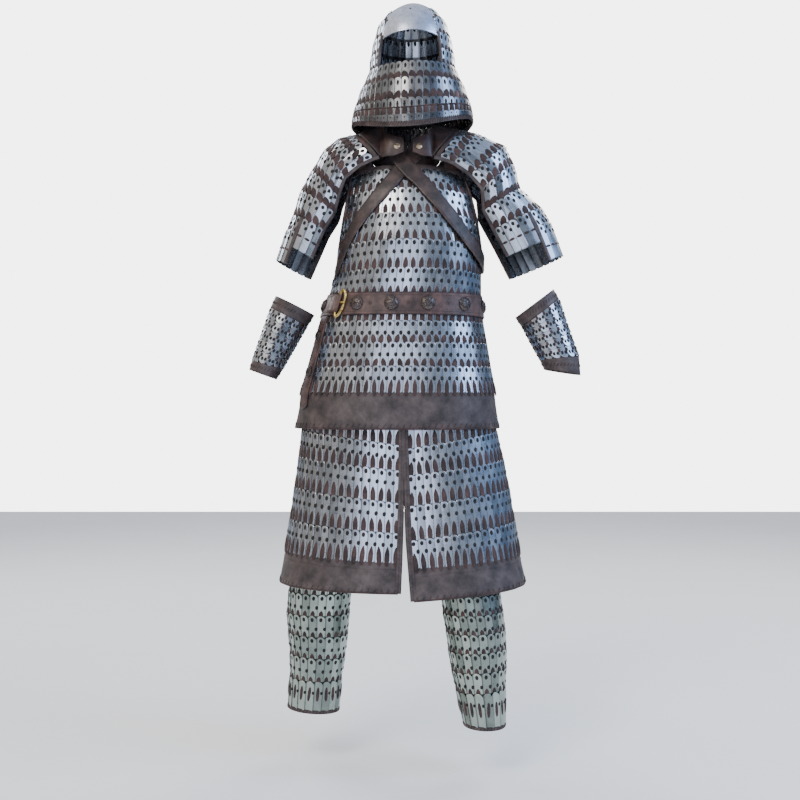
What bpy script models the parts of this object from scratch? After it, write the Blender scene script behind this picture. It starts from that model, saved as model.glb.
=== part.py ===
"""A suit of laced lamellar armour, worn form, with its helmet, belt, bracers and greaves.

Units are metres, +Z is up and the front of the suit faces -Y. Heights in the tables
are heights above the ground that the wearer stands on. "left" and "right" are the
sides as they are seen from the front, so "left" lies at -X.
"""

import math

import bmesh
import bpy
from mathutils import Vector

# Driving dimensions of the laced walls
PLATE_TUCK = 0.0020        # wall at the lower edge of a row, under the next row
PLATE_PROUD = 0.0040       # wall at the upper edge of a row, which lies outside
LEATHER = 0.0028           # hem bands, edgings and yokes
STRAP = 0.0030             # cross straps
BELT_LEATHER = 0.0040
SEAM = 0.0003              # air between two neighbouring pieces
SEAT = 0.0005              # air under a fitting on faceted leather
BELT_LAY = 0.0007          # air under the belt, which is drawn tight
LAY = 0.0012               # air under a strap that lies on the stepped rows
HELMET_STEEL = 0.0022
SHOULDER_HEIGHT = 1.475    # height of the wearer's shoulders, where the suit hangs
BODY_POWER = 2.35          # how full the plan of the body is (2 is an ellipse)

# Colours as linear values with roughness and metallic
STEEL = ("plate_steel", (0.50, 0.53, 0.57), 0.34, 1.0)
POLISHED = ("helmet_steel", (0.62, 0.65, 0.70), 0.24, 1.0)
BROWN = ("brown_leather", (0.045, 0.025, 0.018), 0.62, 0.0)
DARK = ("strap_leather", (0.030, 0.022, 0.020), 0.58, 0.0)
BRASS = ("brass", (0.55, 0.38, 0.13), 0.32, 1.0)
ANTIQUE = ("dark_metal", (0.06, 0.05, 0.045), 0.45, 0.9)


def clear_scene():
    """Take every object out of the open file."""
    for item in list(bpy.data.objects):
        bpy.data.objects.remove(item, do_unlink=True)


def make_material(spec):
    """Give a Principled material for one of the finishes above."""
    name, colour, roughness, metallic = spec
    material = bpy.data.materials.get(name)
    if material is None:
        material = bpy.data.materials.new(name)
        material.use_nodes = True
        shader = material.node_tree.nodes["Principled BSDF"]
        shader.inputs["Base Color"].default_value = (*colour, 1.0)
        shader.inputs["Roughness"].default_value = roughness
        shader.inputs["Metallic"].default_value = metallic
    return material


def add_object(name, data, finish):
    """Put a mesh or curve in the suit's collection, under its ground-level empty."""
    item = bpy.data.objects.new(name, data)
    data.materials.append(make_material(finish))
    SUIT.objects.link(item)
    item.parent = GROUND
    return item


def grid_normals(lines, closed, line_above=None, line_below=None):
    """Give the outward normal at each point of a grid of row lines (top line first).

    line_above and line_below are the neighbouring piece's next row line, so that
    two walls that meet at a seam share one direction there.
    """
    normals = []
    count = len(lines[0])
    for r, line in enumerate(lines):
        above = lines[r - 1] if r else (line_above or line)
        below = lines[r + 1] if r + 1 < len(lines) else (line_below or line)
        row = []
        for c in range(count):
            ahead = line[(c + 1) % count] if closed else line[min(c + 1, count - 1)]
            behind = line[(c - 1) % count] if closed else line[max(c - 1, 0)]
            row.append((below[c] - above[c]).cross(ahead - behind).normalized())
        normals.append(row)
    return normals


def stepped_wall(name, lines, rows, finish, closed=False, side_edge=None,
                 line_above=None, line_below=None):
    """Loft a laced wall: plain inside, and an outside that steps out at each row.

    lines holds the inside points, a list for each row line from the top down, and
    they run so that down x along points outward. rows gives (top, bottom) wall
    thickness of each row. side_edge is the wall at the two ends of an open panel.
    """
    normals = grid_normals(lines, closed, line_above, line_below)
    mesh = bmesh.new()
    count = len(lines[0])
    inside = [[mesh.verts.new(p) for p in line] for line in lines]

    def ring(line_index, thickness):
        verts = []
        for c in range(count):
            wall = thickness
            if side_edge is not None and c in (0, count - 1):
                wall = min(side_edge, thickness)
            verts.append(mesh.verts.new(lines[line_index][c] + normals[line_index][c] * wall))
        return verts

    outside = []
    for r, (top, bottom) in enumerate(rows):
        if outside and abs(rows[r - 1][1] - top) < 1e-6:
            upper = outside[-1][1]
        else:
            upper = ring(r, top)
        outside.append((upper, ring(r + 1, bottom)))

    spans = range(count) if closed else range(count - 1)

    def skin(upper, lower):
        for c in spans:
            d = (c + 1) % count
            quad = (upper[c], lower[c], lower[d], upper[d])
            kept = list(dict.fromkeys(quad))
            mesh.faces.new(kept)

    for r, (upper, lower) in enumerate(outside):
        skin(upper, lower)
        if r and outside[r - 1][1] is not upper:
            skin(outside[r - 1][1], upper)
        skin(inside[r + 1], inside[r])
    skin(inside[0], outside[0][0])
    skin(outside[-1][1], inside[-1])
    if not closed:
        for end in (0, count - 1):
            for r, (upper, lower) in enumerate(outside):
                side = [inside[r][end], inside[r + 1][end], lower[end], upper[end]]
                mesh.faces.new(side if end == 0 else side[::-1])
                if r and outside[r - 1][1] is not upper:
                    step = [inside[r][end], upper[end], outside[r - 1][1][end]]
                    mesh.faces.new(step if end == 0 else step[::-1])
    bmesh.ops.triangulate(mesh, faces=mesh.faces[:])
    bmesh.ops.recalc_face_normals(mesh, faces=mesh.faces[:])
    data = bpy.data.meshes.new(name)
    mesh.to_mesh(data)
    mesh.free()
    data.shade_smooth()
    data.set_sharp_from_angle(angle=math.radians(30))
    return add_object(name, data, finish)


def plan_point(angle, half_width, front, back, power=BODY_POWER):
    """Give x, y on a full oval; 0 degrees is the front and 90 degrees is at +X."""
    s = math.sin(math.radians(angle))
    c = math.cos(math.radians(angle))
    depth = front if c > 0 else back
    x = half_width * math.copysign(abs(s) ** (2 / power), s)
    y = -depth * math.copysign(abs(c) ** (2 / power), c)
    return x, y


def even(start, stop, count):
    """Give count + 1 evenly spaced numbers from start to stop."""
    return [start + (stop - start) * i / count for i in range(count + 1)]


def plate_rows(count, first=(), last=()):
    """Give the walls of laced rows, with leather rows named before and after."""
    return [*first, *[(PLATE_PROUD, PLATE_TUCK)] * count, *last]


# The cuirass: inside of the wall at each row line
CUIRASS_COLUMNS = 20
BAND = (LEATHER, LEATHER)
CUIRASS_ROWS = plate_rows(9, first=[BAND], last=[BAND])
# name, height, side_drop, half_width, front, back, centre_x, half_angle
CUIRASS_LINES = [
    ("neck_edge", 1.413, 0.020, 0.146, 0.080, 0.104, 0.012, 61.0),
    ("row_1",     1.402, 0.020, 0.148, 0.085, 0.106, 0.012, 61.0),
    ("row_2",     1.352, 0.012, 0.156, 0.114, 0.121, 0.015, 64.0),
    ("row_3",     1.293, 0.010, 0.163, 0.134, 0.129, 0.017, 71.0),
    ("row_4",     1.231, 0.010, 0.168, 0.143, 0.127, 0.017, 87.0),
    ("row_5",     1.166, 0.008, 0.170, 0.145, 0.121, 0.013, 90.0),
    ("row_6",     1.101, 0.004, 0.180, 0.143, 0.118, 0.003, 90.0),
    ("row_7",     1.043, 0.000, 0.193, 0.147, 0.123, -0.004, 90.0),
    ("row_8",     0.993, 0.000, 0.204, 0.154, 0.135, -0.006, 90.0),
    ("row_9",     0.938, 0.000, 0.216, 0.161, 0.147, -0.009, 90.0),
    ("hem_band",  0.877, 0.000, 0.231, 0.168, 0.156, -0.012, 90.0),
    ("hem_edge",  0.794, 0.000, 0.240, 0.174, 0.163, -0.013, 90.0),
]


def cuirass_point(angle, line):
    """Give the inside of the cuirass on one row line, at an angle round the body."""
    _, height, drop, half_width, front, back, centre_x, _ = line
    x, y = plan_point(angle, half_width, front, back)
    sideways = math.sin(math.radians(angle)) ** 2
    return Vector((centre_x + x, y, height - drop * sideways))


def cuirass_surface(angle, height):
    """Give the inside of the cuirass at any height, straight between row lines."""
    drop_share = math.sin(math.radians(angle)) ** 2
    lines = CUIRASS_LINES
    for upper, lower in zip(lines, lines[1:]):
        top = upper[1] - upper[2] * drop_share
        bottom = lower[1] - lower[2] * drop_share
        if height >= bottom or lower is lines[-1]:
            share = (top - height) / (top - bottom)
            return cuirass_point(angle, upper).lerp(cuirass_point(angle, lower), share)


def outward_of_cuirass(angle, height):
    """Give the direction that the cuirass faces at an angle and height."""
    turn = 2.0
    rise = 0.02
    along = cuirass_surface(angle + turn, height) - cuirass_surface(angle - turn, height)
    down = cuirass_surface(angle, height - rise) - cuirass_surface(angle, height + rise)
    return down.cross(along).normalized()


def on_cuirass(angle, height, lift):
    """Give a point that stands off the inside of the cuirass by lift."""
    return cuirass_surface(angle, height) + outward_of_cuirass(angle, height) * lift


def build_cuirass():
    """Build the front and back of the cuirass, parted by a seam at each side."""
    for name, middle in (("cuirass_front", 0.0), ("cuirass_back", 180.0)):
        lines = []
        for line in CUIRASS_LINES:
            half = line[7] - math.degrees(SEAM / 2 / line[3])
            angles = even(middle - half, middle + half, CUIRASS_COLUMNS)
            lines.append([cuirass_point(angle, line) for angle in angles])
        stepped_wall(name, lines, CUIRASS_ROWS, STEEL, side_edge=LEATHER)


SHOULDER_STRAP_ARCH = {-1: (0.1005, 0.0921), 1: (0.1064, 0.1009)}    # inner, outer edge's rise
SHOULDER_STRAP_INNER = 32.0     # angle of its inner edge on the neck edge
SHOULDER_STRAP_OUTER = 54.0
SHOULDER_STRAP_STEPS = 8


def build_shoulder_straps():
    """Build the two leather straps that join front and back over the shoulders."""
    for name, side in (("shoulder_strap_left", -1), ("shoulder_strap_right", 1)):
        lines = []
        for share in even(0.0, 1.0, SHOULDER_STRAP_STEPS):
            line = []
            inner_arch, outer_arch = SHOULDER_STRAP_ARCH[side]
            arches = even(inner_arch, outer_arch, 2)
            angles = even(SHOULDER_STRAP_INNER, SHOULDER_STRAP_OUTER, 2)
            for angle, arch in zip(angles, arches):
                front = cuirass_point(side * angle, CUIRASS_LINES[0])
                back = cuirass_point(side * (180.0 - angle), CUIRASS_LINES[0])
                point = front.lerp(back, share)
                point.z += SEAM + arch * math.sin(math.pi * share) ** 0.75
                line.append(point)
            lines.append(line if side < 0 else line[::-1])
        stepped_wall(name, lines, [BAND] * SHOULDER_STRAP_STEPS, BROWN)


# Cross straps: route round the body, 0 degrees at the front
STRAP_WIDTH = 0.034
# angle, height
OVER_ROUTE = [
    (-9.0, 1.438), (-3.0, 1.412), (6.0, 1.371), (18.0, 1.324), (31.5, 1.279), (46.5, 1.236),
    (62.0, 1.208), (78.0, 1.190), (95.0, 1.184), (112.0, 1.196), (128.0, 1.226), (142.0, 1.268),
    (156.0, 1.316), (170.0, 1.364), (183.0, 1.403), (187.0, 1.415),
]
UNDER_ROUTE = [
    (4.5, 1.437), (-2.0, 1.412), (-11.5, 1.370), (-26.5, 1.323), (-41.5, 1.279), (-55.0, 1.238),
    (-65.0, 1.198), (-78.0, 1.162), (-95.0, 1.150), (-112.0, 1.166), (-128.0, 1.200),
    (-142.0, 1.246), (-156.0, 1.300), (-170.0, 1.352), (-183.0, 1.397), (-187.0, 1.409),
]
UNDER_LIFT = PLATE_PROUD + LAY
OVER_LIFT = UNDER_LIFT + STRAP + LAY
STRAP_REFINE = 3
STRAP_GIRTH = 0.165        # mean radius of the chest, which turns degrees into metres


def smooth_route(points, refine):
    """Run a smooth curve through (angle, height) points, refine steps between two."""
    route = []
    for i in range(len(points) - 1):
        before = Vector(points[max(i - 1, 0)])
        start = Vector(points[i])
        end = Vector(points[i + 1])
        after = Vector(points[min(i + 2, len(points) - 1)])
        for step in range(refine):
            t = step / refine
            route.append(0.5 * (2 * start + (end - before) * t
                                + (2 * before - 5 * start + 4 * end - after) * t * t
                                + (3 * start - before - 3 * end + after) * t ** 3))
    route.append(Vector(points[-1]))
    return route


def build_cross_strap(name, points, lift):
    """Build one strap that lies on the cuirass along its route."""
    route = smooth_route(points, STRAP_REFINE)
    lines = []
    for i, here in enumerate(route):
        ahead = route[min(i + 1, len(route) - 1)]
        behind = route[max(i - 1, 0)]
        run = math.radians(ahead.x - behind.x) * STRAP_GIRTH
        rise = ahead.y - behind.y
        length = math.hypot(run, rise)
        across = (-rise / length, run / length)
        line = []
        for share in (-0.5, 0.0, 0.5):
            angle = here.x + math.degrees(across[0] * share * STRAP_WIDTH / STRAP_GIRTH)
            line.append(on_cuirass(angle, here.y + across[1] * share * STRAP_WIDTH, lift))
        lines.append(line)
    stepped_wall(name, lines, [(STRAP, STRAP)] * (len(lines) - 1), DARK)


# Belt
BELT_BOTTOM = 1.057
BELT_TOP = 1.107
BELT_COLUMNS = 44
BELT_LIFT = PLATE_PROUD + BELT_LAY
TAIL_ANGLE = -67.0
TAIL_HALF_SPREAD = 6.5
TAIL_BOTTOM = 0.846
TAIL_DROP = 0.0006         # the tail starts this far under the belt's lower edge
BOSS_RADIUS = 0.0165
BOSS_HEIGHT = 0.0070
BOSS_FRONT_ANGLES = (-78.0, -31.0, -6.0, 14.0, 45.0)
BOSS_BACK_ANGLES = (80.0, 112.0, 140.0, 165.0, 190.0, 215.0, 250.0)
BUCKLE_ANGLE = -47.0
BUCKLE_HALF_WIDTH = 0.017
BUCKLE_HALF_HEIGHT = 0.031
BUCKLE_WIRE = 0.0030
BUCKLE_BAR_SIDE = 0.45     # the bar side of the D is this much flatter
BELT_GIRTH = 0.19          # mean radius of the waist, which turns metres into degrees
BUCKLE_POINTS = 18


def build_belt():
    """Build the belt round the waist and the end that hangs from it."""
    lines = []
    for height in (BELT_TOP, (BELT_TOP + BELT_BOTTOM) / 2, BELT_BOTTOM):
        angles = even(0.0, 360.0, BELT_COLUMNS)[:-1]
        lines.append([on_cuirass(angle, height, BELT_LIFT) for angle in angles])
    walls = [(BELT_LEATHER, BELT_LEATHER)] * 2
    stepped_wall("belt", lines, walls, DARK, closed=True)
    tail = []
    row_heights = [line[1] for line in CUIRASS_LINES if TAIL_BOTTOM < line[1] < BELT_BOTTOM]
    for height in (BELT_BOTTOM - TAIL_DROP, *row_heights, TAIL_BOTTOM):
        low, high = TAIL_ANGLE - TAIL_HALF_SPREAD, TAIL_ANGLE + TAIL_HALF_SPREAD
        tail.append([on_cuirass(angle, height, BELT_LIFT) for angle in even(low, high, 3)])
    tip = tail[-1]
    tip[1].z -= BELT_LEATHER * 2
    tip[2].z -= BELT_LEATHER * 2
    stepped_wall("belt_tail", tail, [(STRAP, STRAP)] * (len(tail) - 1), DARK)


def domed_piece(name, radius, height, finish, place, outward, segments=10):
    """Build a domed disc by turning its profile, set on a surface with its face out."""
    profile = [(0.0, height), (radius * 0.62, height * 0.80), (radius, height * 0.24),
               (radius, 0.0), (0.0, 0.0)]
    data = bpy.data.meshes.new(name)
    edges = [(i, i + 1) for i in range(len(profile) - 1)]
    data.from_pydata([(r, 0.0, h) for r, h in profile], edges, [])
    item = add_object(name, data, finish)
    turn = item.modifiers.new("turn", "SCREW")
    turn.steps = segments
    turn.render_steps = segments
    turn.use_merge_vertices = True
    turn.merge_threshold = 0.00001
    item.location = place
    item.rotation_mode = "QUATERNION"
    item.rotation_quaternion = outward.to_track_quat("Z", "Y")
    return item


def seat_on_cuirass(angle, height, lift):
    """Give a seat that stands off the cuirass and the direction that it faces."""
    return on_cuirass(angle, height, lift), outward_of_cuirass(angle, height)


def build_belt_fittings():
    """Build the bosses on the belt and its tail, and the buckle."""
    face = BELT_LIFT + BELT_LEATHER + SEAT
    middle = (BELT_TOP + BELT_BOTTOM) / 2
    for number, angle in enumerate((*BOSS_FRONT_ANGLES, *BOSS_BACK_ANGLES), start=1):
        place, outward = seat_on_cuirass(angle, middle, face)
        domed_piece(f"boss_{number:02d}", BOSS_RADIUS, BOSS_HEIGHT, ANTIQUE, place, outward)
    for number, height in enumerate((1.010, 0.925), start=1):
        seat = BELT_LIFT + STRAP + SEAT
        place, outward = seat_on_cuirass(TAIL_ANGLE, height, seat)
        domed_piece(f"tail_boss_{number}", BOSS_RADIUS * 0.8, BOSS_HEIGHT, ANTIQUE, place, outward)
    curve = bpy.data.curves.new("belt_buckle", "CURVE")
    curve.dimensions = "3D"
    curve.bevel_depth = BUCKLE_WIRE
    curve.bevel_resolution = 1
    spline = curve.splines.new("POLY")
    spline.points.add(BUCKLE_POINTS - 1)
    spline.use_cyclic_u = True
    for i in range(BUCKLE_POINTS):
        turn = 2 * math.pi * i / BUCKLE_POINTS
        reach = BUCKLE_HALF_WIDTH * math.cos(turn)
        if reach < 0:
            reach *= BUCKLE_BAR_SIDE
        angle = BUCKLE_ANGLE + math.degrees(reach / BELT_GIRTH)
        height = middle + BUCKLE_HALF_HEIGHT * math.sin(turn)
        point = on_cuirass(angle, height, face + BUCKLE_WIRE)
        spline.points[i].co = (*point, 1.0)
    add_object("belt_buckle", curve, BRASS)


# Skirt: the wall's inside at each row line of a thigh guard
THIGH_COLUMNS = 16
THIGH_ROWS = plate_rows(5, last=[BAND])
THIGH_SLIT_BACK = 0.010
# name, inner_x, outer_x, inner_height, outer_height, front, back
THIGH_LEFT = [
    ("top",    0.004, 0.240, 0.838, 0.856, 0.158, 0.143),
    ("row_2",  0.004, 0.2395, 0.756, 0.790, 0.163, 0.151),
    ("row_3",  0.004, 0.247, 0.699, 0.727, 0.169, 0.158),
    ("row_4",  0.005, 0.257, 0.626, 0.654, 0.176, 0.166),
    ("row_5",  0.007, 0.268, 0.558, 0.579, 0.182, 0.173),
    ("hem",    0.009, 0.279, 0.492, 0.504, 0.188, 0.180),
    ("edge",   0.012, 0.290, 0.424, 0.430, 0.194, 0.186),
]
THIGH_RIGHT = [
    ("top",    0.004, 0.213, 0.838, 0.856, 0.158, 0.143),
    ("row_2",  0.006, 0.222, 0.748, 0.786, 0.164, 0.150),
    ("row_3",  0.008, 0.238, 0.688, 0.719, 0.171, 0.155),
    ("row_4",  0.010, 0.252, 0.619, 0.650, 0.179, 0.161),
    ("row_5",  0.013, 0.265, 0.542, 0.574, 0.187, 0.166),
    ("hem",    0.018, 0.277, 0.480, 0.497, 0.195, 0.171),
    ("edge",   0.024, 0.288, 0.408, 0.427, 0.202, 0.176),
]


def build_thigh_guard(name, side, table):
    """Build half of the split skirt, from the front slit round to the back slit."""
    lines = []
    for _, inner_x, outer_x, inner_height, outer_height, front, back in table:
        line = []
        for angle in even(0.0, 180.0, THIGH_COLUMNS):
            x, y = plan_point(angle, outer_x - inner_x, front, back, power=2.5)
            slit = inner_x + THIGH_SLIT_BACK * max(y, 0.0) / back
            reach = x / (outer_x - inner_x)
            height = inner_height + (outer_height - inner_height) * reach
            line.append(Vector((side * (slit + x * (outer_x - slit) / (outer_x - inner_x)), y, height)))
        lines.append(line if side > 0 else line[::-1])
    stepped_wall(name, lines, THIGH_ROWS, STEEL, side_edge=LEATHER)


# Shoulder guards: each row line by its two ends as seen from the front
ARM_COLUMNS = 14
FRONT_SPLIT = -62.0
# name, inner_x, inner_height, outer_x, outer_height, centre_y, front_depth, back_depth, wrap
SHOULDER_LEFT = [
    ("edge",  0.056, 1.4270, 0.112, 1.4960, 0.000, 0.098, 0.098, 8.0),
    ("row_1", 0.068, 1.4240, 0.125, 1.4930, 0.000, 0.098, 0.098, 8.0),
    ("row_2", 0.104, 1.4080, 0.153, 1.4860, 0.000, 0.094, 0.094, 12.0),
    ("row_3", 0.138, 1.3820, 0.185, 1.4620, 0.000, 0.088, 0.088, 20.0),
    ("row_4", 0.154, 1.3400, 0.217, 1.4110, 0.000, 0.082, 0.084, 28.0),
    ("row_5", 0.163, 1.3040, 0.243, 1.3640, 0.000, 0.079, 0.081, 32.0),
    ("split", 0.188, 1.2640, 0.262, 1.3040, -0.002, 0.074, 0.078, 30.0),
    ("lappet", 0.203, 1.2280, 0.276, 1.2700, -0.004, 0.072, 0.076, 28.0),
    ("end",   0.217, 1.1960, 0.289, 1.2380, -0.006, 0.070, 0.074, 26.0),
    ("tip",   0.232, 1.1600, 0.302, 1.1960, -0.008, 0.068, 0.072, 24.0),
]
SHOULDER_RIGHT = [
    ("edge",  0.073, 1.4270, 0.130, 1.5080, 0.000, 0.098, 0.098, 8.0),
    ("row_1", 0.084, 1.4250, 0.141, 1.5060, 0.000, 0.098, 0.098, 8.0),
    ("row_2", 0.118, 1.4150, 0.176, 1.4980, 0.000, 0.094, 0.094, 12.0),
    ("row_3", 0.158, 1.3890, 0.243, 1.4700, 0.000, 0.090, 0.090, 20.0),
    ("row_4", 0.188, 1.3580, 0.264, 1.4280, 0.000, 0.084, 0.086, 28.0),
    ("row_5", 0.192, 1.3080, 0.281, 1.3660, 0.000, 0.082, 0.084, 32.0),
    ("split", 0.215, 1.2640, 0.332, 1.3210, -0.002, 0.080, 0.082, 38.0),
    ("lappet", 0.232, 1.2320, 0.352, 1.2870, -0.004, 0.078, 0.080, 36.0),
    ("end",   0.248, 1.2000, 0.368, 1.2520, -0.006, 0.076, 0.078, 34.0),
    ("tip",   0.268, 1.1600, 0.383, 1.2060, -0.008, 0.074, 0.076, 32.0),
]


def arm_point(line, side, turn):
    """Give a point of a shoulder row line; turn 0 is outermost, -90 is the front."""
    _, inner_x, inner_height, outer_x, outer_height, centre_y, front, back, wrap = line
    inner = Vector((side * inner_x, 0.0, inner_height))
    outer = Vector((side * outer_x, 0.0, outer_height))
    full = (outer - inner).length
    radius = full / (1.0 + math.sin(math.radians(wrap)))
    outward = (outer - inner).normalized()
    centre = outer - outward * radius
    depth = front if turn < 0 else back
    cosine = math.cos(math.radians(turn))
    sine = math.sin(math.radians(turn))
    point = centre + outward * radius * cosine
    point.y = centre_y + depth * sine
    return point


def arm_turns(line, side):
    """Give the points of a whole row line, from its front end to its back end."""
    full = 90.0 + line[8]
    return [arm_point(line, side, turn) for turn in even(-full, full, ARM_COLUMNS)]


def arm_lines(table, side, start, stop, columns):
    """Give the row lines between two turns, for one part of a shoulder guard.

    start and stop are turns in degrees; None stands for the table's own wrap.
    """
    lines = []
    for line in table:
        low = -(90.0 + line[8]) if start is None else start
        high = 90.0 + line[8] if stop is None else stop
        points = [arm_point(line, side, turn) for turn in even(low, high, columns)]
        lines.append(points if side > 0 else points[::-1])
    return lines


def blend_line(upper, lower, share):
    """Give the numbers of a row line that lies a share of the way to the next."""
    return [a + (b - a) * share for a, b in zip(upper[1:], lower[1:])]


def build_shoulder_guard(label, side, table):
    """Build one shoulder guard and its two lappets."""
    radius = 0.08
    part_gap = math.degrees(SEAM / 2 / radius)
    names = [line[0] for line in table]
    split = names.index("split")
    cape = arm_lines(table[:split + 1], side, None, None, ARM_COLUMNS)
    rows = plate_rows(split - 1, first=[BAND])
    neck = neck_line(side) if side > 0 else neck_line(side)[::-1]
    stepped_wall(label, cape, rows, STEEL, side_edge=LEATHER, line_above=neck)
    lowered = [("top", *blend_line(table[split], table[split + 1], 0.012)), *table[split + 1:]]
    front = arm_lines([lowered[0], table[names.index("end")]], side, None,
                      FRONT_SPLIT - part_gap * 8, 5)
    stepped_wall(label + "_front_lappet", front, plate_rows(1), STEEL, side_edge=LEATHER)
    outer = arm_lines(lowered[:2] + [table[-1]], side, FRONT_SPLIT + part_gap * 8, None, 10)
    stepped_wall(label + "_outer_lappet", outer, plate_rows(2), STEEL, side_edge=LEATHER)


# Collar yokes: from the tongue at the throat, round the neck, to the back
NECK_CENTRE = Vector((0.012, -0.004, 0.0))
NECK_HALF_WIDTH = 0.070
NECK_HALF_DEPTH = 0.078
# name, inner_x, inner_y, inner_height, outer_x, outer_y, outer_height
TONGUE_STATIONS = [
    ("tip",    0.010, -0.100, 1.470, 0.010, -0.109, 1.437),
    ("tongue", 0.031, -0.098, 1.476, 0.032, -0.110, 1.428),
    ("bend",   0.048, -0.086, 1.485, 0.051, -0.107, 1.427),
]
COLLAR_BACK = ("back", 0.001, 0.074, 1.500, 0.001, 0.126, 1.442)
COLLAR_FRONT_ANGLE = 54.0   # where round the neck the shoulder guard begins and ends
COLLAR_BACK_ANGLE = 158.0
COLLAR_FRONT_HEIGHT = 1.492
COLLAR_SIDE_HEIGHT = 1.520
YOKE_SEAM = 0.0009          # air between the yoke and the guard laced to it
CORNER_CUT = 3.5            # the yoke is cut back this many seams at the guard's corners
COLLAR_ROUND = 0.004        # the yoke rounds over the shoulder


def neck_edge(side, share):
    """Give the collar's neck edge, from the guard's front (0) to its back (1)."""
    angle = COLLAR_FRONT_ANGLE + (COLLAR_BACK_ANGLE - COLLAR_FRONT_ANGLE) * share
    x, y = plan_point(angle, NECK_HALF_WIDTH, NECK_HALF_DEPTH, NECK_HALF_DEPTH, power=2.0)
    rise = (COLLAR_SIDE_HEIGHT - COLLAR_FRONT_HEIGHT) * math.sin(math.radians(angle)) ** 2
    return Vector((NECK_CENTRE.x + side * x, NECK_CENTRE.y + y, COLLAR_FRONT_HEIGHT + rise))


def neck_line(side):
    """Give the neck edge at each column of the shoulder guard."""
    return [neck_edge(side, share) for share in even(0.0, 1.0, ARM_COLUMNS)]


def collar_station(side, station):
    """Give the neck edge and the outer edge of the yoke at one named station."""
    _, inner_x, inner_y, inner_height, outer_x, outer_y, outer_height = station
    middle = NECK_CENTRE.x
    return (Vector((middle + side * inner_x, inner_y, inner_height)),
            Vector((middle + side * outer_x, outer_y, outer_height)))


def build_collar(name, side, table):
    """Build one leather yoke between the neck and its shoulder guard."""
    edge_line, row_line = [arm_turns(line, side) for line in table[:2]]
    pairs = [collar_station(side, station) for station in TONGUE_STATIONS]
    beyond = [outer + (outer - inner) * 0.2 for inner, outer in pairs]
    corners = (0, 1, ARM_COLUMNS)
    for column, (neck, edge, row) in enumerate(zip(neck_line(side), edge_line, row_line)):
        seam = YOKE_SEAM * CORNER_CUT if column in corners else YOKE_SEAM
        pairs.append((neck, edge - (row - edge).normalized() * seam))
        beyond.append(row)
    pairs.append(collar_station(side, COLLAR_BACK))
    beyond.append(pairs[-1][1] + (pairs[-1][1] - pairs[-1][0]) * 0.2)
    lines = []
    for share in (0.0, 0.5, 1.0):
        line = [neck.lerp(outer, share) for neck, outer in pairs]
        if share == 0.5:
            for point in line:
                point.z += COLLAR_ROUND
        lines.append(line)
    if side < 0:
        lines = [line[::-1] for line in lines]
        beyond.reverse()
    stepped_wall(name, lines, [BAND] * 2, BROWN, line_below=beyond)


# Helmet and aventail
HEAD_X = 0.023
HEAD_Y = -0.006
HEAD_TURN = -5.0            # the face opening looks a little to the left
HEAD_LEAN = 0.045           # the rows rise a little to the right
OPENING_HALF_ANGLE = 44.0
HELMET_COLUMNS = 22
# name, height, half_width, front, back
CROWN_RINGS = [
    ("apex_ring", 1.8090, 0.020, 0.022, 0.022),
    ("shoulder",  1.7980, 0.040, 0.046, 0.046),
    ("seam",      1.7860, 0.056, 0.065, 0.065),
]
CROWN_APEX = 1.8140
SIDE_RINGS = [
    ("seam",  1.7855, 0.0565, 0.0655, 0.0655),
    ("row_2", 1.7600, 0.0780, 0.0900, 0.0920),
    ("row_3", 1.7200, 0.0900, 0.1020, 0.1080),
    ("row_4", 1.6820, 0.0970, 0.1070, 0.1140),
    ("edge",  1.6460, 0.1010, 0.1090, 0.1170),
]
BROW_RINGS = [
    ("seam",  1.7855, 0.0565, 0.0655, 0.0655),
    ("upper", 1.7700, 0.0710, 0.0820, 0.0820),
    ("lower", 1.7450, 0.0835, 0.0965, 0.0965),
    ("brim",  1.7100, 0.0920, 0.1040, 0.1090),
]
BROW_ARCH = 0.011
# name, height, half_width, front, back, side_lift
AVENTAIL_RINGS = [
    ("row_1", 1.6455, 0.1012, 0.1092, 0.1172, 0.000),
    ("row_2", 1.6050, 0.1200, 0.1250, 0.1290, 0.002),
    ("row_3", 1.5550, 0.1355, 0.1330, 0.1380, 0.010),
    ("row_4", 1.5160, 0.1415, 0.1380, 0.1420, 0.024),
    ("bound", 1.4990, 0.1425, 0.1400, 0.1430, 0.030),
    ("edge",  1.4880, 0.1430, 0.1405, 0.1435, 0.033),
]
AVENTAIL_COLUMNS = 32


def head_point(angle, half_width, front, back, height, side_lift=0.0):
    """Give a point on an oval ring round the head, turned and leant as it is worn."""
    x, y = plan_point(angle, half_width, front, back, power=2.1)
    turn = math.radians(HEAD_TURN)
    height += side_lift * math.sin(math.radians(angle)) ** 2 + HEAD_LEAN * x
    return Vector((HEAD_X + x * math.cos(turn) - y * math.sin(turn),
                   HEAD_Y + x * math.sin(turn) + y * math.cos(turn), height))


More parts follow.
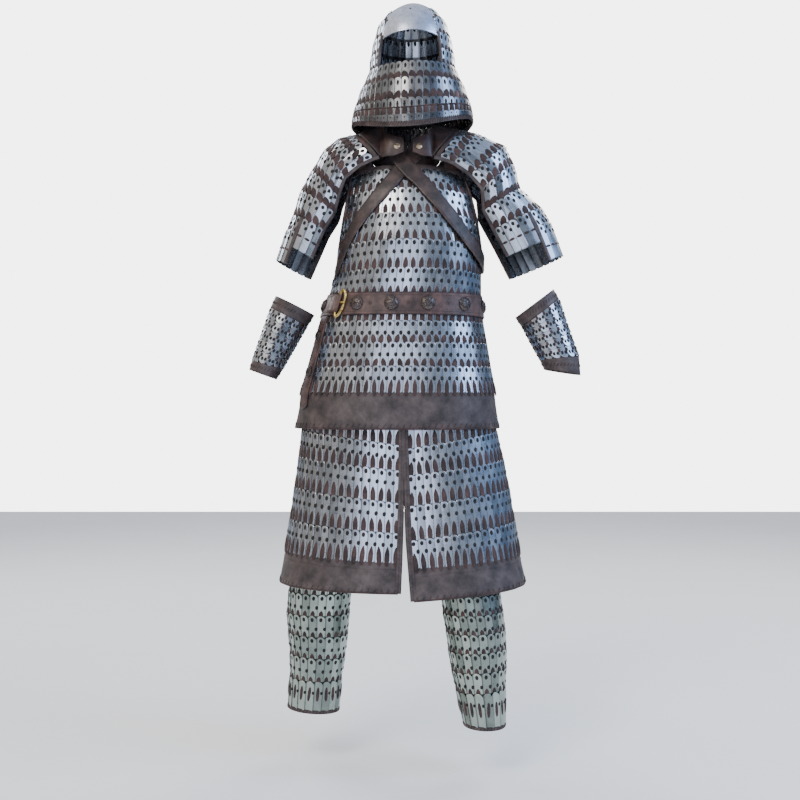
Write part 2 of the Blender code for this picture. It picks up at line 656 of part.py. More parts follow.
def build_helmet():
    """Build the crown, the brow plate and the laced rows at the sides and back."""
    edge = math.degrees(SEAM / 0.09)
    lines = []
    for _, height, half_width, front, back in SIDE_RINGS:
        angles = even(OPENING_HALF_ANGLE + edge, 360.0 - OPENING_HALF_ANGLE - edge, HELMET_COLUMNS)
        lines.append([head_point(a, half_width, front, back, height) for a in angles])
    above = [head_point(a, *CROWN_RINGS[1][2:], CROWN_RINGS[1][1]) for a in angles]
    below = [head_point(a, *AVENTAIL_RINGS[1][2:5], AVENTAIL_RINGS[1][1]) for a in angles]
    stepped_wall("helmet_side_rows", lines, plate_rows(4), STEEL, side_edge=LEATHER,
                 line_above=above, line_below=below)
    brow = []
    brow_angles = even(-OPENING_HALF_ANGLE + edge, OPENING_HALF_ANGLE - edge, 10)
    for ring in BROW_RINGS:
        _, height, half_width, front, back = ring
        line = []
        for angle in brow_angles:
            arch = BROW_ARCH * math.cos(math.radians(angle * 90.0 / OPENING_HALF_ANGLE))
            lift = arch if ring is BROW_RINGS[-1] else 0.0
            line.append(head_point(angle, half_width, front, back, height + lift))
        brow.append(line)
    steel = (HELMET_STEEL, HELMET_STEEL)
    above = [head_point(a, *CROWN_RINGS[1][2:], CROWN_RINGS[1][1]) for a in brow_angles]
    stepped_wall("helmet_brow_plate", brow, [steel] * 3, POLISHED, line_above=above)
    build_crown()


def build_crown():
    """Build the domed top plate, closed at its apex inside and outside."""
    count = 24
    angles = even(0.0, 360.0, count)[:-1]
    lines = [[head_point(a, *ring[2:], ring[1]) for a in angles] for ring in CROWN_RINGS]
    apex = Vector((HEAD_X, HEAD_Y, CROWN_APEX))
    below = [head_point(a, *SIDE_RINGS[1][2:], SIDE_RINGS[1][1]) for a in angles]
    normals = grid_normals(lines, True, [apex] * count, below)
    mesh = bmesh.new()
    skins = []
    for lift in (0.0, HELMET_STEEL):
        rings = [[mesh.verts.new(p + n * lift) for p, n in zip(line, row)]
                 for line, row in zip(lines, normals)]
        skins.append((mesh.verts.new(apex + Vector((0.0, 0.0, lift))), rings))
    for top, rings in skins:
        for c in range(count):
            d = (c + 1) % count
            mesh.faces.new((top, rings[0][c], rings[0][d]))
            for upper, lower in zip(rings, rings[1:]):
                mesh.faces.new((upper[c], lower[c], lower[d], upper[d]))
    inner, outer = skins[0][1][-1], skins[1][1][-1]
    for c in range(count):
        d = (c + 1) % count
        mesh.faces.new((inner[c], inner[d], outer[d], outer[c]))
    bmesh.ops.triangulate(mesh, faces=mesh.faces[:])
    bmesh.ops.recalc_face_normals(mesh, faces=mesh.faces[:])
    data = bpy.data.meshes.new("helmet_crown")
    mesh.to_mesh(data)
    mesh.free()
    data.shade_smooth()
    data.set_sharp_from_angle(angle=math.radians(40))
    add_object("helmet_crown", data, POLISHED)


def build_aventail():
    """Build the hoop of rows that hangs round the lower face and neck."""
    lines = []
    for _, height, half_width, front, back, side_lift in AVENTAIL_RINGS:
        angles = even(0.0, 360.0, AVENTAIL_COLUMNS)[:-1]
        lines.append([head_point(a, half_width, front, back, height, side_lift) for a in angles])
    above = [head_point(a, *SIDE_RINGS[3][2:], SIDE_RINGS[3][1]) for a in angles]
    rows = plate_rows(4, last=[BAND])
    stepped_wall("aventail", lines, rows, STEEL, closed=True, line_above=above)


# Bracers and greaves: each hoop by its two side points as seen from the front
# name, left_x, left_height, right_x, right_height, centre_y, depth
BRACER_LEFT = [
    ("top",    -0.3000, 1.1050, -0.2140, 1.0620, -0.045, 0.052),
    ("scales", -0.3120, 1.0790, -0.2300, 1.0370, -0.047, 0.050),
    ("band",   -0.3550, 0.9530, -0.2880, 0.9340, -0.053, 0.041),
    ("wrist",  -0.3610, 0.9320, -0.3020, 0.9110, -0.054, 0.040),
]
BRACER_RIGHT = [
    ("top",    0.2710, 1.0570, 0.3560, 1.1210, -0.045, 0.050),
    ("scales", 0.2850, 1.0360, 0.3680, 1.1000, -0.047, 0.048),
    ("band",   0.3280, 0.9560, 0.4150, 0.9630, -0.053, 0.036),
    ("wrist",  0.3380, 0.9340, 0.4180, 0.9200, -0.054, 0.035),
]
BRACER_SCALE_ROWS = 5
GREAVE_LEFT = [
    ("top",    -0.2600, 0.4640, -0.1260, 0.4640, -0.030, 0.062),
    ("row_1",  -0.2620, 0.4540, -0.1270, 0.4540, -0.030, 0.063),
    ("row_2",  -0.2700, 0.4060, -0.1280, 0.4040, -0.028, 0.065),
    ("row_3",  -0.2750, 0.3560, -0.1310, 0.3540, -0.026, 0.066),
    ("row_4",  -0.2720, 0.3080, -0.1350, 0.3020, -0.024, 0.064),
    ("row_5",  -0.2680, 0.2580, -0.1420, 0.2480, -0.022, 0.060),
    ("long",   -0.2680, 0.2010, -0.1500, 0.1940, -0.020, 0.056),
    ("bound",  -0.2730, 0.1330, -0.1560, 0.1240, -0.020, 0.053),
    ("edge",   -0.2740, 0.1260, -0.1560, 0.1170, -0.020, 0.053),
]
GREAVE_RIGHT = [
    ("top",    0.0880, 0.4640, 0.2160, 0.4640, -0.090, 0.066),
    ("row_1",  0.0890, 0.4540, 0.2170, 0.4540, -0.092, 0.067),
    ("row_2",  0.0920, 0.4110, 0.2230, 0.4130, -0.098, 0.070),
    ("row_3",  0.0960, 0.3680, 0.2290, 0.3720, -0.104, 0.072),
    ("row_4",  0.1030, 0.3250, 0.2340, 0.3310, -0.110, 0.070),
    ("row_5",  0.1080, 0.2830, 0.2360, 0.2890, -0.115, 0.067),
    ("row_6",  0.1150, 0.2390, 0.2360, 0.2450, -0.120, 0.063),
    ("long",   0.1250, 0.1930, 0.2330, 0.1990, -0.125, 0.058),
    ("bound",  0.1410, 0.1210, 0.2330, 0.1190, -0.130, 0.054),
    ("edge",   0.1420, 0.1140, 0.2330, 0.1120, -0.130, 0.054),
]
LIMB_COLUMNS = 16


def limb_hoop(line):
    """Give the inside points of one hoop round a limb."""
    _, left_x, left_height, right_x, right_height, centre_y, depth = line
    left = Vector((left_x, centre_y, left_height))
    right = Vector((right_x, centre_y, right_height))
    points = []
    for angle in even(0.0, 360.0, LIMB_COLUMNS)[:-1]:
        across = 0.5 + 0.5 * math.sin(math.radians(angle))
        point = left.lerp(right, across)
        point.y -= depth * math.cos(math.radians(angle))
        points.append(point)
    return points


def build_bracer(name, table):
    """Build one forearm guard: a leather band, rows of scales, a leather band."""
    top, first, last, wrist = table
    hoops = [top]
    for share in even(0.0, 1.0, BRACER_SCALE_ROWS):
        hoops.append(("row", *blend_line(first, last, share)))
    hoops.append(wrist)
    lines = [limb_hoop(line) for line in hoops]
    rows = plate_rows(BRACER_SCALE_ROWS, first=[BAND], last=[BAND])
    stepped_wall(name, lines, rows, STEEL, closed=True)


def build_greave(name, table):
    """Build one shin guard, edged with leather at the top and the bottom."""
    lines = [limb_hoop(line) for line in table]
    rows = plate_rows(len(table) - 3, first=[BAND], last=[BAND])
    stepped_wall(name, lines, rows, STEEL, closed=True)


STUD_RADIUS = 0.0065
STUD_HEIGHT = 0.0035
STUD_SEAT_Y = -0.1094


def build_studs():
    """Build the brass stud on each tongue of the collar."""
    for name, side in (("collar_stud_left", -1), ("collar_stud_right", 1)):
        x = NECK_CENTRE.x + side * 0.026
        place = Vector((x, STUD_SEAT_Y, 1.450))
        outward = Vector((0.0, -1.0, 0.30)).normalized()
        domed_piece(name, STUD_RADIUS, STUD_HEIGHT, BRASS, place, outward, segments=10)


def build_suit():
    """Build every piece of the suit."""
    build_cuirass()
    build_shoulder_straps()
    build_cross_strap("strap_over", OVER_ROUTE, OVER_LIFT)
    build_cross_strap("strap_under", UNDER_ROUTE, UNDER_LIFT)
    build_belt()
    build_belt_fittings()
    build_thigh_guard("thigh_guard_left", -1, THIGH_LEFT)
    build_thigh_guard("thigh_guard_right", 1, THIGH_RIGHT)
    build_shoulder_guard("shoulder_left", -1, SHOULDER_LEFT)
    build_shoulder_guard("shoulder_right", 1, SHOULDER_RIGHT)
    build_collar("collar_left", -1, SHOULDER_LEFT)
    build_collar("collar_right", 1, SHOULDER_RIGHT)
    build_studs()
    build_helmet()
    build_aventail()
    build_bracer("bracer_left", BRACER_LEFT)
    build_bracer("bracer_right", BRACER_RIGHT)
    build_greave("greave_left", GREAVE_LEFT)
    build_greave("greave_right", GREAVE_RIGHT)


clear_scene()
SUIT = bpy.data.collections.new("lamellar_armour")
bpy.context.scene.collection.children.link(SUIT)
GROUND = bpy.data.objects.new("ground_level", None)
GROUND.location = (0.0, 0.0, -SHOULDER_HEIGHT)
SUIT.objects.link(GROUND)
build_suit()
bpy.context.view_layer.update()
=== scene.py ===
"""The visual model of a worn suit of laced lamellar armour.

Every laced wall of the part is dressed here with single steel plates, their lace
holes, the laces between the rows, and the leather that edges them. Units are metres,
+Z is up and the suit faces -Y. Heights in the tables are above the wearer's ground.
"left" and "right" are the sides as they are seen from the front.
"""

import logging
import math
from dataclasses import dataclass, fields, replace
from enum import Enum
from typing import Optional, Sequence, TypeVar, Union

import bpy
import numpy as np
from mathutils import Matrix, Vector
from mathutils.geometry import delaunay_2d_cdt


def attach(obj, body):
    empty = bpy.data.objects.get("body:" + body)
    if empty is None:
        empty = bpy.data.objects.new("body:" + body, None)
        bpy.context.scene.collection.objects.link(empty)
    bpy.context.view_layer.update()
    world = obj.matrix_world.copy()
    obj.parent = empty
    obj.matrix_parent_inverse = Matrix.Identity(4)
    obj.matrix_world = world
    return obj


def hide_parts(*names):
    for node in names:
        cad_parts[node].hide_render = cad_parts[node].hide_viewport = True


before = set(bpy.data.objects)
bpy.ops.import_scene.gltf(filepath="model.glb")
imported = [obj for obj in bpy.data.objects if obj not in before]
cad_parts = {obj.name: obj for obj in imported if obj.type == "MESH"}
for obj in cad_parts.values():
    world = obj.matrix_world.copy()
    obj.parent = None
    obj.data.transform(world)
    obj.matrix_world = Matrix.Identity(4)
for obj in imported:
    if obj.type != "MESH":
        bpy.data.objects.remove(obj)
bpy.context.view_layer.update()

LOG = logging.getLogger("suit")
Line = TypeVar("Line")

HALVES = ("cuirass_front", "cuirass_back")
GROUND_Z = -1.475          # the ground in the shared frame, whose origin is at the shoulders
BODY_POWER = 2.35          # how full the plan of the body is (2 is an ellipse)
BAR_POWER = 2.6            # how square a rounded bar is
TAPERED_END = 0.45         # size of a tapered bar's ends
STEEL_SHEET = 0.0008       # steel of one plate
PLATE_BEVEL = 0.0005       # rounded rim of one plate
PLATE_OVERLAP = 0.0015     # a plate reaches this far past each side of its place
PLATE_STEP = 0.0009        # a plate's right side lies this much prouder than its left
PLATE_WOBBLE = 0.00022     # how far a plate's edges lie off its row
HOLE_SIDES = 8             # points round a lace hole
LACE_FILL = 1.2125         # a lace is at most this many plate spacings wide
PAIR_LEAN = 13.0           # degrees that two paired laces lean towards each other
LACE_SHIFT = 0.03          # how far a lace may lie off its place, in plate spacings
LACE_TURN = 5.0            # degrees that it may be turned
LACE_SEAT = 0.0001         # gap below it
CROSS_BAR = 0.0016         # half height of the bar across a double lace
FINE_STITCH = (0.0052, 0.0038)    # distance from one small stitch to the next, and its length
BELT_STITCH = (0.0060, 0.0043)    # the same on the belt
WHIP_THONG = (0.0022, 0.0011)     # width and height of the thong that whips an edge
HOLE_FILL = 1.15           # the thong in a lace hole is this much wider than the hole
HOLE_KNOT = (0.0006, 0.0004)   # how deep that thong is set below the face, and its height
SEAM_KNOT = (0.0003, 0.0012)   # the same for a knot that lies over a seam
HIDE_RIM = 0.0009          # width of the rounded edge of a piece of leather
HIDE_ROUNDING = 0.35       # how much of its thickness that edge takes away
NARROWEST_CUT = 0.0101     # a strip narrower than this is cut wider and turned at its edge
BINDING_LIFT = 0.0026      # middle of a folded binding above the row lines
BINDING_STEP = 0.008       # distance between two of its points
LEATHER_SMOOTH = 50.0      # degrees up to which leather and fittings are shaded smooth
THONG_SMOOTH = 60.0        # the same for thongs and thread


class Side(Enum):
    """The side of the suit as it is seen from the front."""

    LEFT = -1
    RIGHT = 1

    @property
    def word(self) -> str:
        """The side's word in the names of pieces."""
        return self.name.lower()


class Lacing(Enum):
    """How one row of plates is laced to the next."""

    OVAL = "one upright oval of lace below each plate's middle"
    PAIRED = "upright ovals that lean towards each other in pairs"
    SLANTED = "short strokes that run aslant between two rows"
    DOUBLE = "long upright laces with a bar across"
    SMALL = "small round laces for scales"


def linear(hex_colour: str) -> tuple[float, float, float, float]:
    """Turn an sRGB hex colour into linear values.

    Args:
        hex_colour: Six hex digits, such as "5A4636".

    Returns:
        Red, green, blue and an alpha of one.
    """
    parts = [int(hex_colour[i:i + 2], 16) / 255 for i in (0, 2, 4)]
    turned = [p / 12.92 if p <= 0.04045 else ((p + 0.055) / 1.055) ** 2.4 for p in parts]
    return (*turned, 1.0)


def set_inputs(tree: bpy.types.NodeTree, node: bpy.types.Node, inputs: dict) -> None:
    """Set or link a node's inputs.

    Args:
        tree: The node tree.
        node: The node.
        inputs: Values or output sockets, by the input's name or number.
    """
    for name, value in inputs.items():
        if isinstance(value, bpy.types.NodeSocket):
            tree.links.new(value, node.inputs[name])
        else:
            node.inputs[name].default_value = value


def add_node(tree: bpy.types.NodeTree, kind: str, inputs: Optional[dict] = None,
             take: Union[str, int] = 0, **settings) -> bpy.types.NodeSocket:
    """Add one node with its settings, values and links.

    Args:
        tree: The node tree.
        kind: The node's type name.
        inputs: Values or output sockets for its inputs, by name or number.
        take: The output that is wanted, by name or number.
        **settings: Attributes of the node itself.

    Returns:
        That output.
    """
    node = tree.nodes.new(kind)
    for name, value in settings.items():
        setattr(node, name, value)
    set_inputs(tree, node, inputs or {})
    return node.outputs[take]


def ramp(tree: bpy.types.NodeTree, source: bpy.types.NodeSocket,
         *stops: tuple[float, str]) -> bpy.types.NodeSocket:
    """Turn a value into a colour between hex stops.

    Args:
        tree: The node tree.
        source: The value, from 0 to 1.
        *stops: Places from 0 to 1 with their hex colours.

    Returns:
        The colour.
    """
    colour = add_node(tree, "ShaderNodeValToRGB", {"Fac": source})
    elements = colour.node.color_ramp.elements
    while len(elements) < len(stops):
        elements.new(0.5)
    for element, (place, shade) in zip(elements, stops):
        element.position = place
        element.color = linear(shade)
    return colour


def relief(tree: bpy.types.NodeTree, strength: float,
           *layers: tuple[bpy.types.NodeSocket, float]) -> bpy.types.NodeSocket:
    """Raise several patterns over each other as one bump.

    Args:
        tree: The node tree.
        strength: How much of it shows.
        *layers: Each pattern with its height in metres.

    Returns:
        The normal for the shader.
    """
    height = 0.0
    for pattern, depth in layers:
        height = add_node(tree, "ShaderNodeMath", {0: pattern, 1: depth, 2: height},
                          operation="MULTIPLY_ADD")
    return add_node(tree, "ShaderNodeBump", {"Height": height, "Distance": 1.0, "Strength": strength})


@dataclass(frozen=True)
class Finish:
    """One finish, which draws its own material.

    Args:
        name: What the real material is.
        slot: The record's slot that it follows; it is not used.
    """

    name: str
    slot: str

    def material(self) -> bpy.types.Material:
        """Give the finish's material, made once."""
        material = bpy.data.materials.get(self.name)
        if material is None:
            material = bpy.data.materials.new(self.name)
            material.use_nodes = True
            tree = material.node_tree
            spot = add_node(tree, "ShaderNodeTexCoord", take="Object")
            set_inputs(tree, tree.nodes["Principled BSDF"], self.draw(tree, spot))
        return material

    def draw(self, tree: bpy.types.NodeTree, spot: bpy.types.NodeSocket) -> dict:
        """Draw the patterns of the finish.

        Args:
            tree: The material's node tree.
            spot: The points that the patterns lie on.

        Returns:
            The shader's inputs by name.
        """
        raise NotImplementedError


@dataclass(frozen=True)
class PlateSteel(Finish):
    """Satin steel plates: each is rolled a little, worn bright on its edges and dulled unevenly.

    Args:
        dark: Hex colour of a dull plate.
        light: Hex colour of a bright plate.
        roughness: Roughness of clean steel.
        roll: How much a plate is rounded across, as a bump in metres.
        painted_shade: Hex colour of the painted shade under the next row and beside the next plate.
    """

    dark: str = "8D949D"
    light: str = "C7CDD7"
    roughness: float = 0.25
    roll: float = 0.00035
    painted_shade: str = "332E2C"

    def draw(self, tree: bpy.types.NodeTree, spot: bpy.types.NodeSocket) -> dict:
        """Draw brushed, slightly rolled steel with its own tone on every plate, and painted shade where the
        next row and the next plate lie over it.
        """
        place = add_node(tree, "ShaderNodeAttribute", take="Vector", attribute_name="plate")
        parts = add_node(tree, "ShaderNodeSeparateXYZ", {"Vector": place}).node.outputs
        # Worn patches are 22 mm wide. Brush strokes are 17 mm long and 1.1 mm apart,
        # coarser than real ones so that they show.
        wear = add_node(tree, "ShaderNodeTexNoise", {"Vector": spot, "Scale": 45.0, "Detail": 5.0,
                                                     "Roughness": 0.6})
        streaks = add_node(tree, "ShaderNodeMapping", {"Vector": spot, "Scale": (900.0, 900.0, 60.0)})
        brushed = add_node(tree, "ShaderNodeTexNoise", {"Vector": streaks, "Scale": 1.0, "Detail": 3.0})
        mottle = add_node(tree, "ShaderNodeMath", {0: wear, 1: 0.25}, operation="MULTIPLY")
        tone = add_node(tree, "ShaderNodeMath", {0: parts["Z"], 1: 0.55, 2: mottle}, operation="MULTIPLY_ADD")
        clean = ramp(tree, tone, (0.42, self.dark), (0.72, self.light))
        # Painted shade: the steel is darkened where the next row lies over the plate's lower end, and along
        # its left edge where the next plate lies over it.
        shade_under_row = add_node(tree, "ShaderNodeMapRange", {
            "Value": parts["Y"], "From Min": 0.985, "From Max": 1.02, "To Min": 0.0, "To Max": 0.86})
        beside = add_node(tree, "ShaderNodeMapRange", {
            "Value": parts["X"], "From Min": -0.68, "From Max": -0.52, "To Min": 0.60, "To Max": 0.0})
        painted_shade_mask = add_node(tree, "ShaderNodeMath", {0: shade_under_row, 1: beside}, operation="MAXIMUM")
        shown = add_node(tree, "ShaderNodeMix", {0: painted_shade_mask, 6: clean, 7: linear(self.painted_shade)}, take=2,
                         data_type="RGBA")
        rough = add_node(tree, "ShaderNodeMapRange", {"Value": wear, "From Min": 0.3, "From Max": 0.7,
                                                      "To Min": self.roughness - 0.02,
                                                      "To Max": self.roughness + 0.07})
        rolled = add_node(tree, "ShaderNodeMath", {0: parts["X"], 1: parts["X"]}, operation="MULTIPLY")
        return {"Metallic": 1.0, "Base Color": shown, "Roughness": rough,
                "Normal": relief(tree, 1.0, (brushed, 0.000012), (wear, 0.00006), (rolled, -self.roll))}


@dataclass(frozen=True)
class BowlSteel(Finish):
    """Polished helmet steel: raised by hand, so its reflections ripple and its hollows stay dull.

    Args:
        dark: Hex colour of the tarnished spots.
        light: Hex colour of the bright metal.
        roughness: Roughness of the polished metal.
    """

    dark: str = "AEB5CB"
    light: str = "CFD6EA"
    roughness: float = 0.19

    def draw(self, tree: bpy.types.NodeTree, spot: bpy.types.NodeSocket) -> dict:
        """Draw bright steel with soft hammer marks, 26 and 14 mm wide, and 11 mm clouds of tarnish."""
        soft = add_node(tree, "ShaderNodeTexNoise", {"Vector": spot, "Scale": 38.0, "Detail": 2.0})
        marks = add_node(tree, "ShaderNodeTexVoronoi", {"Vector": spot, "Scale": 70.0})
        cloud = add_node(tree, "ShaderNodeTexNoise", {"Vector": spot, "Scale": 90.0, "Detail": 6.0})
        rough = add_node(tree, "ShaderNodeMapRange", {"Value": cloud, "From Min": 0.35, "From Max": 0.7,
                                                      "To Min": self.roughness + 0.14,
                                                      "To Max": self.roughness})
        return {"Metallic": 1.0, "Base Color": ramp(tree, cloud, (0.3, self.dark), (0.6, self.light)),
                "Roughness": rough, "Normal": relief(tree, 0.8, (soft, 0.0005), (marks, 0.00006))}


@dataclass(frozen=True)
class Leather(Finish):
    """Vegetable-tanned leather: grain cells, darker creases and rubbed, lighter high spots.

    Args:
        dark: Hex colour in the creases.
        mid: Hex colour of most of it.
        light: Hex colour where it is rubbed.
        roughness: Roughness of the grain.
        grain: Size of one grain cell in metres.
        relief: Depth of the grain in metres.
    """

    dark: str
    mid: str
    light: str
    roughness: float = 0.52
    grain: float = 0.0012
    relief: float = 0.00018

    def draw(self, tree: bpy.types.NodeTree, spot: bpy.types.NodeSocket) -> dict:
        """Draw grained leather with rubbed patches 36 mm wide and creases 9 mm apart."""
        cells = add_node(tree, "ShaderNodeTexVoronoi", {"Vector": spot, "Scale": 1.0 / self.grain})
        patch = add_node(tree, "ShaderNodeTexNoise", {"Vector": spot, "Scale": 28.0, "Detail": 6.0,
                                                      "Roughness": 0.62})
        crease = add_node(tree, "ShaderNodeTexNoise", {"Vector": spot, "Scale": 110.0, "Detail": 4.0,
                                                       "Distortion": 1.2})
        rough = add_node(tree, "ShaderNodeMapRange", {"Value": patch, "From Min": 0.3, "From Max": 0.7,
                                                      "To Min": self.roughness + 0.12,
                                                      "To Max": self.roughness - 0.1})
        colour = ramp(tree, patch, (0.32, self.dark), (0.5, self.mid), (0.68, self.light))
        return {"IOR": 1.5, "Base Color": colour, "Roughness": rough,
                "Normal": relief(tree, 0.9, (cells, self.relief), (crease, 0.0006))}


@dataclass(frozen=True)
class WornMetal(Finish):
    """Cast fitting: dark in its hollows and rubbed bright on what stands up.

    Args:
        dark: Hex colour of the patina.
        light: Hex colour of the rubbed metal.
        roughness: Roughness of the rubbed metal.
        patches: Patches of patina in a metre.
    """

    dark: str
    light: str
    roughness: float
    patches: float = 160.0

    def draw(self, tree: bpy.types.NodeTree, spot: bpy.types.NodeSocket) -> dict:
        """Draw patina with rubbed spots and casting pits 1.4 mm apart."""
        patina = add_node(tree, "ShaderNodeTexNoise", {"Vector": spot, "Scale": self.patches, "Detail": 6.0})
        pits = add_node(tree, "ShaderNodeTexNoise", {"Vector": spot, "Scale": 700.0, "Detail": 2.0})
        rough = add_node(tree, "ShaderNodeMapRange", {"Value": patina, "From Min": 0.35, "From Max": 0.65,
                                                      "To Min": self.roughness + 0.25,
                                                      "To Max": self.roughness})
        return {"Metallic": 1.0, "Base Color": ramp(tree, patina, (0.36, self.dark), (0.62, self.light)),
                "Roughness": rough, "Normal": relief(tree, 0.8, (pits, 0.00008))}


@dataclass(frozen=True)
class Ground(Finish):
    """A plain pale floor."""

    shade: str = "FAFAF9"

    def draw(self, tree: bpy.types.NodeTree, spot: bpy.types.NodeSocket) -> dict:
        """Draw a matt, nearly white floor."""
        mottle = add_node(tree, "ShaderNodeTexNoise", {"Vector": spot, "Scale": 3.0})
        return {"Base Color": ramp(tree, mottle, (0.3, self.shade), (0.7, "FDFDFC")), "Roughness": 0.9}


# Satin steel gives broad soft highlights, and every plate its own shade of grey.
SUIT_STEEL = PlateSteel("satin_plate_steel", "plate_steel")
# Shin plates are the same steel, with a greener, darker painted reflection in their colour.
SHIN_STEEL = PlateSteel("shin_plate_steel", "plate_steel", dark="66706A", light="A9B3AA")
# The face hoop's plates are coloured a darker grey than the other steel.
FACE_STEEL = PlateSteel("face_plate_steel", "plate_steel", dark="5E6065", light="8F9399")
# Polished bowl steel gives the eye sharp, rippled highlights.
HELMET_STEEL = BowlSteel("polished_bowl_steel", "helmet_steel")
# Dark brown hide of the edgings, hems and bands, with a dry, grainy look.
HEM_LEATHER = Leather("dark_brown_hide", "brown_leather", "231C1C", "3F3535", "554A48")
# Brown saddle leather of the collar, warmer and a little shinier.
COLLAR_LEATHER = Leather("brown_saddle_leather", "brown_leather", "1B1312", "322423", "4C3833",
                         roughness=0.46)
# Blackened harness leather of the straps, which shows wear as dull grey-brown.
HARNESS_LEATHER = Leather("blackened_harness_leather", "strap_leather", "1C1616", "362B2A", "54443F",
                          roughness=0.44)
# Brown belt leather, handled more than the straps and so glossier and redder at its edges.
BELT_HIDE = Leather("brown_belt_leather", "strap_leather", "2A1D1C", "4C3835", "6B524B", roughness=0.4)
# Red-brown lacing thong: soft, matt and frayed.
THONG = Leather("red_brown_thong", "brown_leather", "190E0D", "34201F", "4D3330", roughness=0.66,
                grain=0.0007, relief=0.0003)
# The same thong inside the lace holes and over the seams, coloured nearly black as painted shade.
DARK_THONG = Leather("shadowed_thong", "brown_leather", "050404", "0C0909", "171110", roughness=0.75,
                     grain=0.0007, relief=0.0003)
# Worn yellow brass with brown in its hollows.
BRASS = WornMetal("worn_brass", "brass", "7A6130", "DCC27E", 0.2)
# Paler metal of the collar's studs, dulled by handling.
STUD_METAL = WornMetal("pale_worn_brass", "brass", "6B5A48", "CDBBA0", 0.3)
# Darkened cast bronze of the bosses.
BOSS_METAL = WornMetal("darkened_bronze", "dark_metal", "2B2726", "6A615E", 0.34, patches=420.0)
# Pale matt ground.
FLOOR = Ground("pale_floor", "plate_steel")


def unit(vectors: np.ndarray) -> np.ndarray:
    """Scale vectors to a length of one."""
    return vectors / np.maximum(np.linalg.norm(vectors, axis=-1, keepdims=True), 1e-12)


def full_turn(count: int) -> np.ndarray:
    """Give even angles round a circle, in radians."""
    return np.linspace(0.0, 2 * math.pi, count, endpoint=False)


def full_oval(turn: np.ndarray, power: float) -> tuple[np.ndarray, np.ndarray]:
    """Give cosines and sines of angles in radians, filled out by power; 2 leaves them as they are."""
    c, s = np.cos(turn), np.sin(turn)
    return np.sign(c) * np.abs(c) ** (2 / power), np.sign(s) * np.abs(s) ** (2 / power)


def plan_points(angles: np.ndarray, half_width: float, front: float, back: float,
                power: float = BODY_POWER) -> tuple[np.ndarray, np.ndarray]:
    """Give x and y on a full oval.

    Args:
        angles: Degrees, where 0 is the front and 90 is at +X.
        half_width: Half of its width.
        front: Depth towards the front.
        back: Depth towards the back.
        power: How full it is; 2 is an ellipse.

    Returns:
        The x values and the y values.
    """
    c, s = full_oval(np.radians(angles), power)
    return half_width * s, -np.where(c > 0, front, back) * c


def walk(line: np.ndarray) -> np.ndarray:
    """Give the length along a line at each of its points."""
    steps = np.linalg.norm(np.diff(line, axis=0), axis=1)
    return np.concatenate([[0.0], np.cumsum(steps)])


def looped(line: np.ndarray) -> np.ndarray:
    """Bring a line back to its first point."""
    return np.concatenate([line, line[:1]])


def read_along(line: np.ndarray, run: np.ndarray, at: np.ndarray) -> np.ndarray:
    """Give what a line holds at some lengths, where run has the length at each of its points."""
    return np.stack([np.interp(at, run, line[:, axis]) for axis in range(3)], axis=1)


def even_points(line: np.ndarray, count: int, closed: bool = False) -> np.ndarray:
    """Give points at even lengths along a line.

    Args:
        line: Points of the line.
        count: Number of even parts.
        closed: Whether it runs back to its first point.

    Returns:
        count + 1 points.
    """
    line = looped(line) if closed else line
    run = walk(line)
    return read_along(line, run, np.linspace(0.0, run[-1], count + 1))


def grid_normals(lines: np.ndarray, closed: bool) -> np.ndarray:
    """Give the outward direction at each point of a grid.

    Args:
        lines: Row lines from the top down, each with the same number of points.
        closed: Whether each line is a ring.

    Returns:
        Unit vectors in the shape of lines.
    """
    above = np.concatenate([lines[:1], lines[:-1]])
    below = np.concatenate([lines[1:], lines[-1:]])
    if closed:
        ahead = np.roll(lines, -1, axis=1)
        behind = np.roll(lines, 1, axis=1)
    else:
        ahead = np.concatenate([lines[:, 1:], lines[:, -1:]], axis=1)
        behind = np.concatenate([lines[:, :1], lines[:, :-1]], axis=1)
    return unit(np.cross(below - above, ahead - behind))


def sample_grid(lines: np.ndarray, rows: np.ndarray, columns: np.ndarray) -> np.ndarray:
    """Read a grid at fractional rows and columns.

    Args:
        lines: The grid's points.
        rows: Fractional row numbers.
        columns: Fractional column numbers.

    Returns:
        The points, one line for each row number.
    """
    r0 = np.clip(np.floor(rows).astype(int), 0, len(lines) - 2)
    c0 = np.clip(np.floor(columns).astype(int), 0, lines.shape[1] - 2)
    fr = (rows - r0)[:, None, None]
    fc = (columns - c0)[None, :, None]
    upper = lines[r0][:, c0] * (1 - fc) + lines[r0][:, c0 + 1] * fc
    lower = lines[r0 + 1][:, c0] * (1 - fc) + lines[r0 + 1][:, c0 + 1] * fc
    return upper * (1 - fr) + lower * fr


def smooth_line(points: Sequence, refine: int) -> np.ndarray:
    """Run a smooth curve through points.

    Args:
        points: The points, or whole rows of points, in any number of dimensions.
        refine: Steps between two of them.

    Returns:
        The curve's points.
    """
    p = np.array(points, dtype=float)
    curve = []
    for i in range(len(p) - 1):
        before, start, end, after = p[max(i - 1, 0)], p[i], p[i + 1], p[min(i + 2, len(p) - 1)]
        for step in range(refine):
            t = step / refine
            bend = 2 * before - 5 * start + 4 * end - after
            twist = 3 * start - before - 3 * end + after
            curve.append(0.5 * (2 * start + (end - before) * t + bend * t * t + twist * t ** 3))
    curve.append(p[-1])
    return np.array(curve)


@dataclass
class Shape:
    """Triangles with their points, and a vector at each point that the finish can read."""

    points: np.ndarray
    triangles: np.ndarray
    marks: Optional[np.ndarray] = None


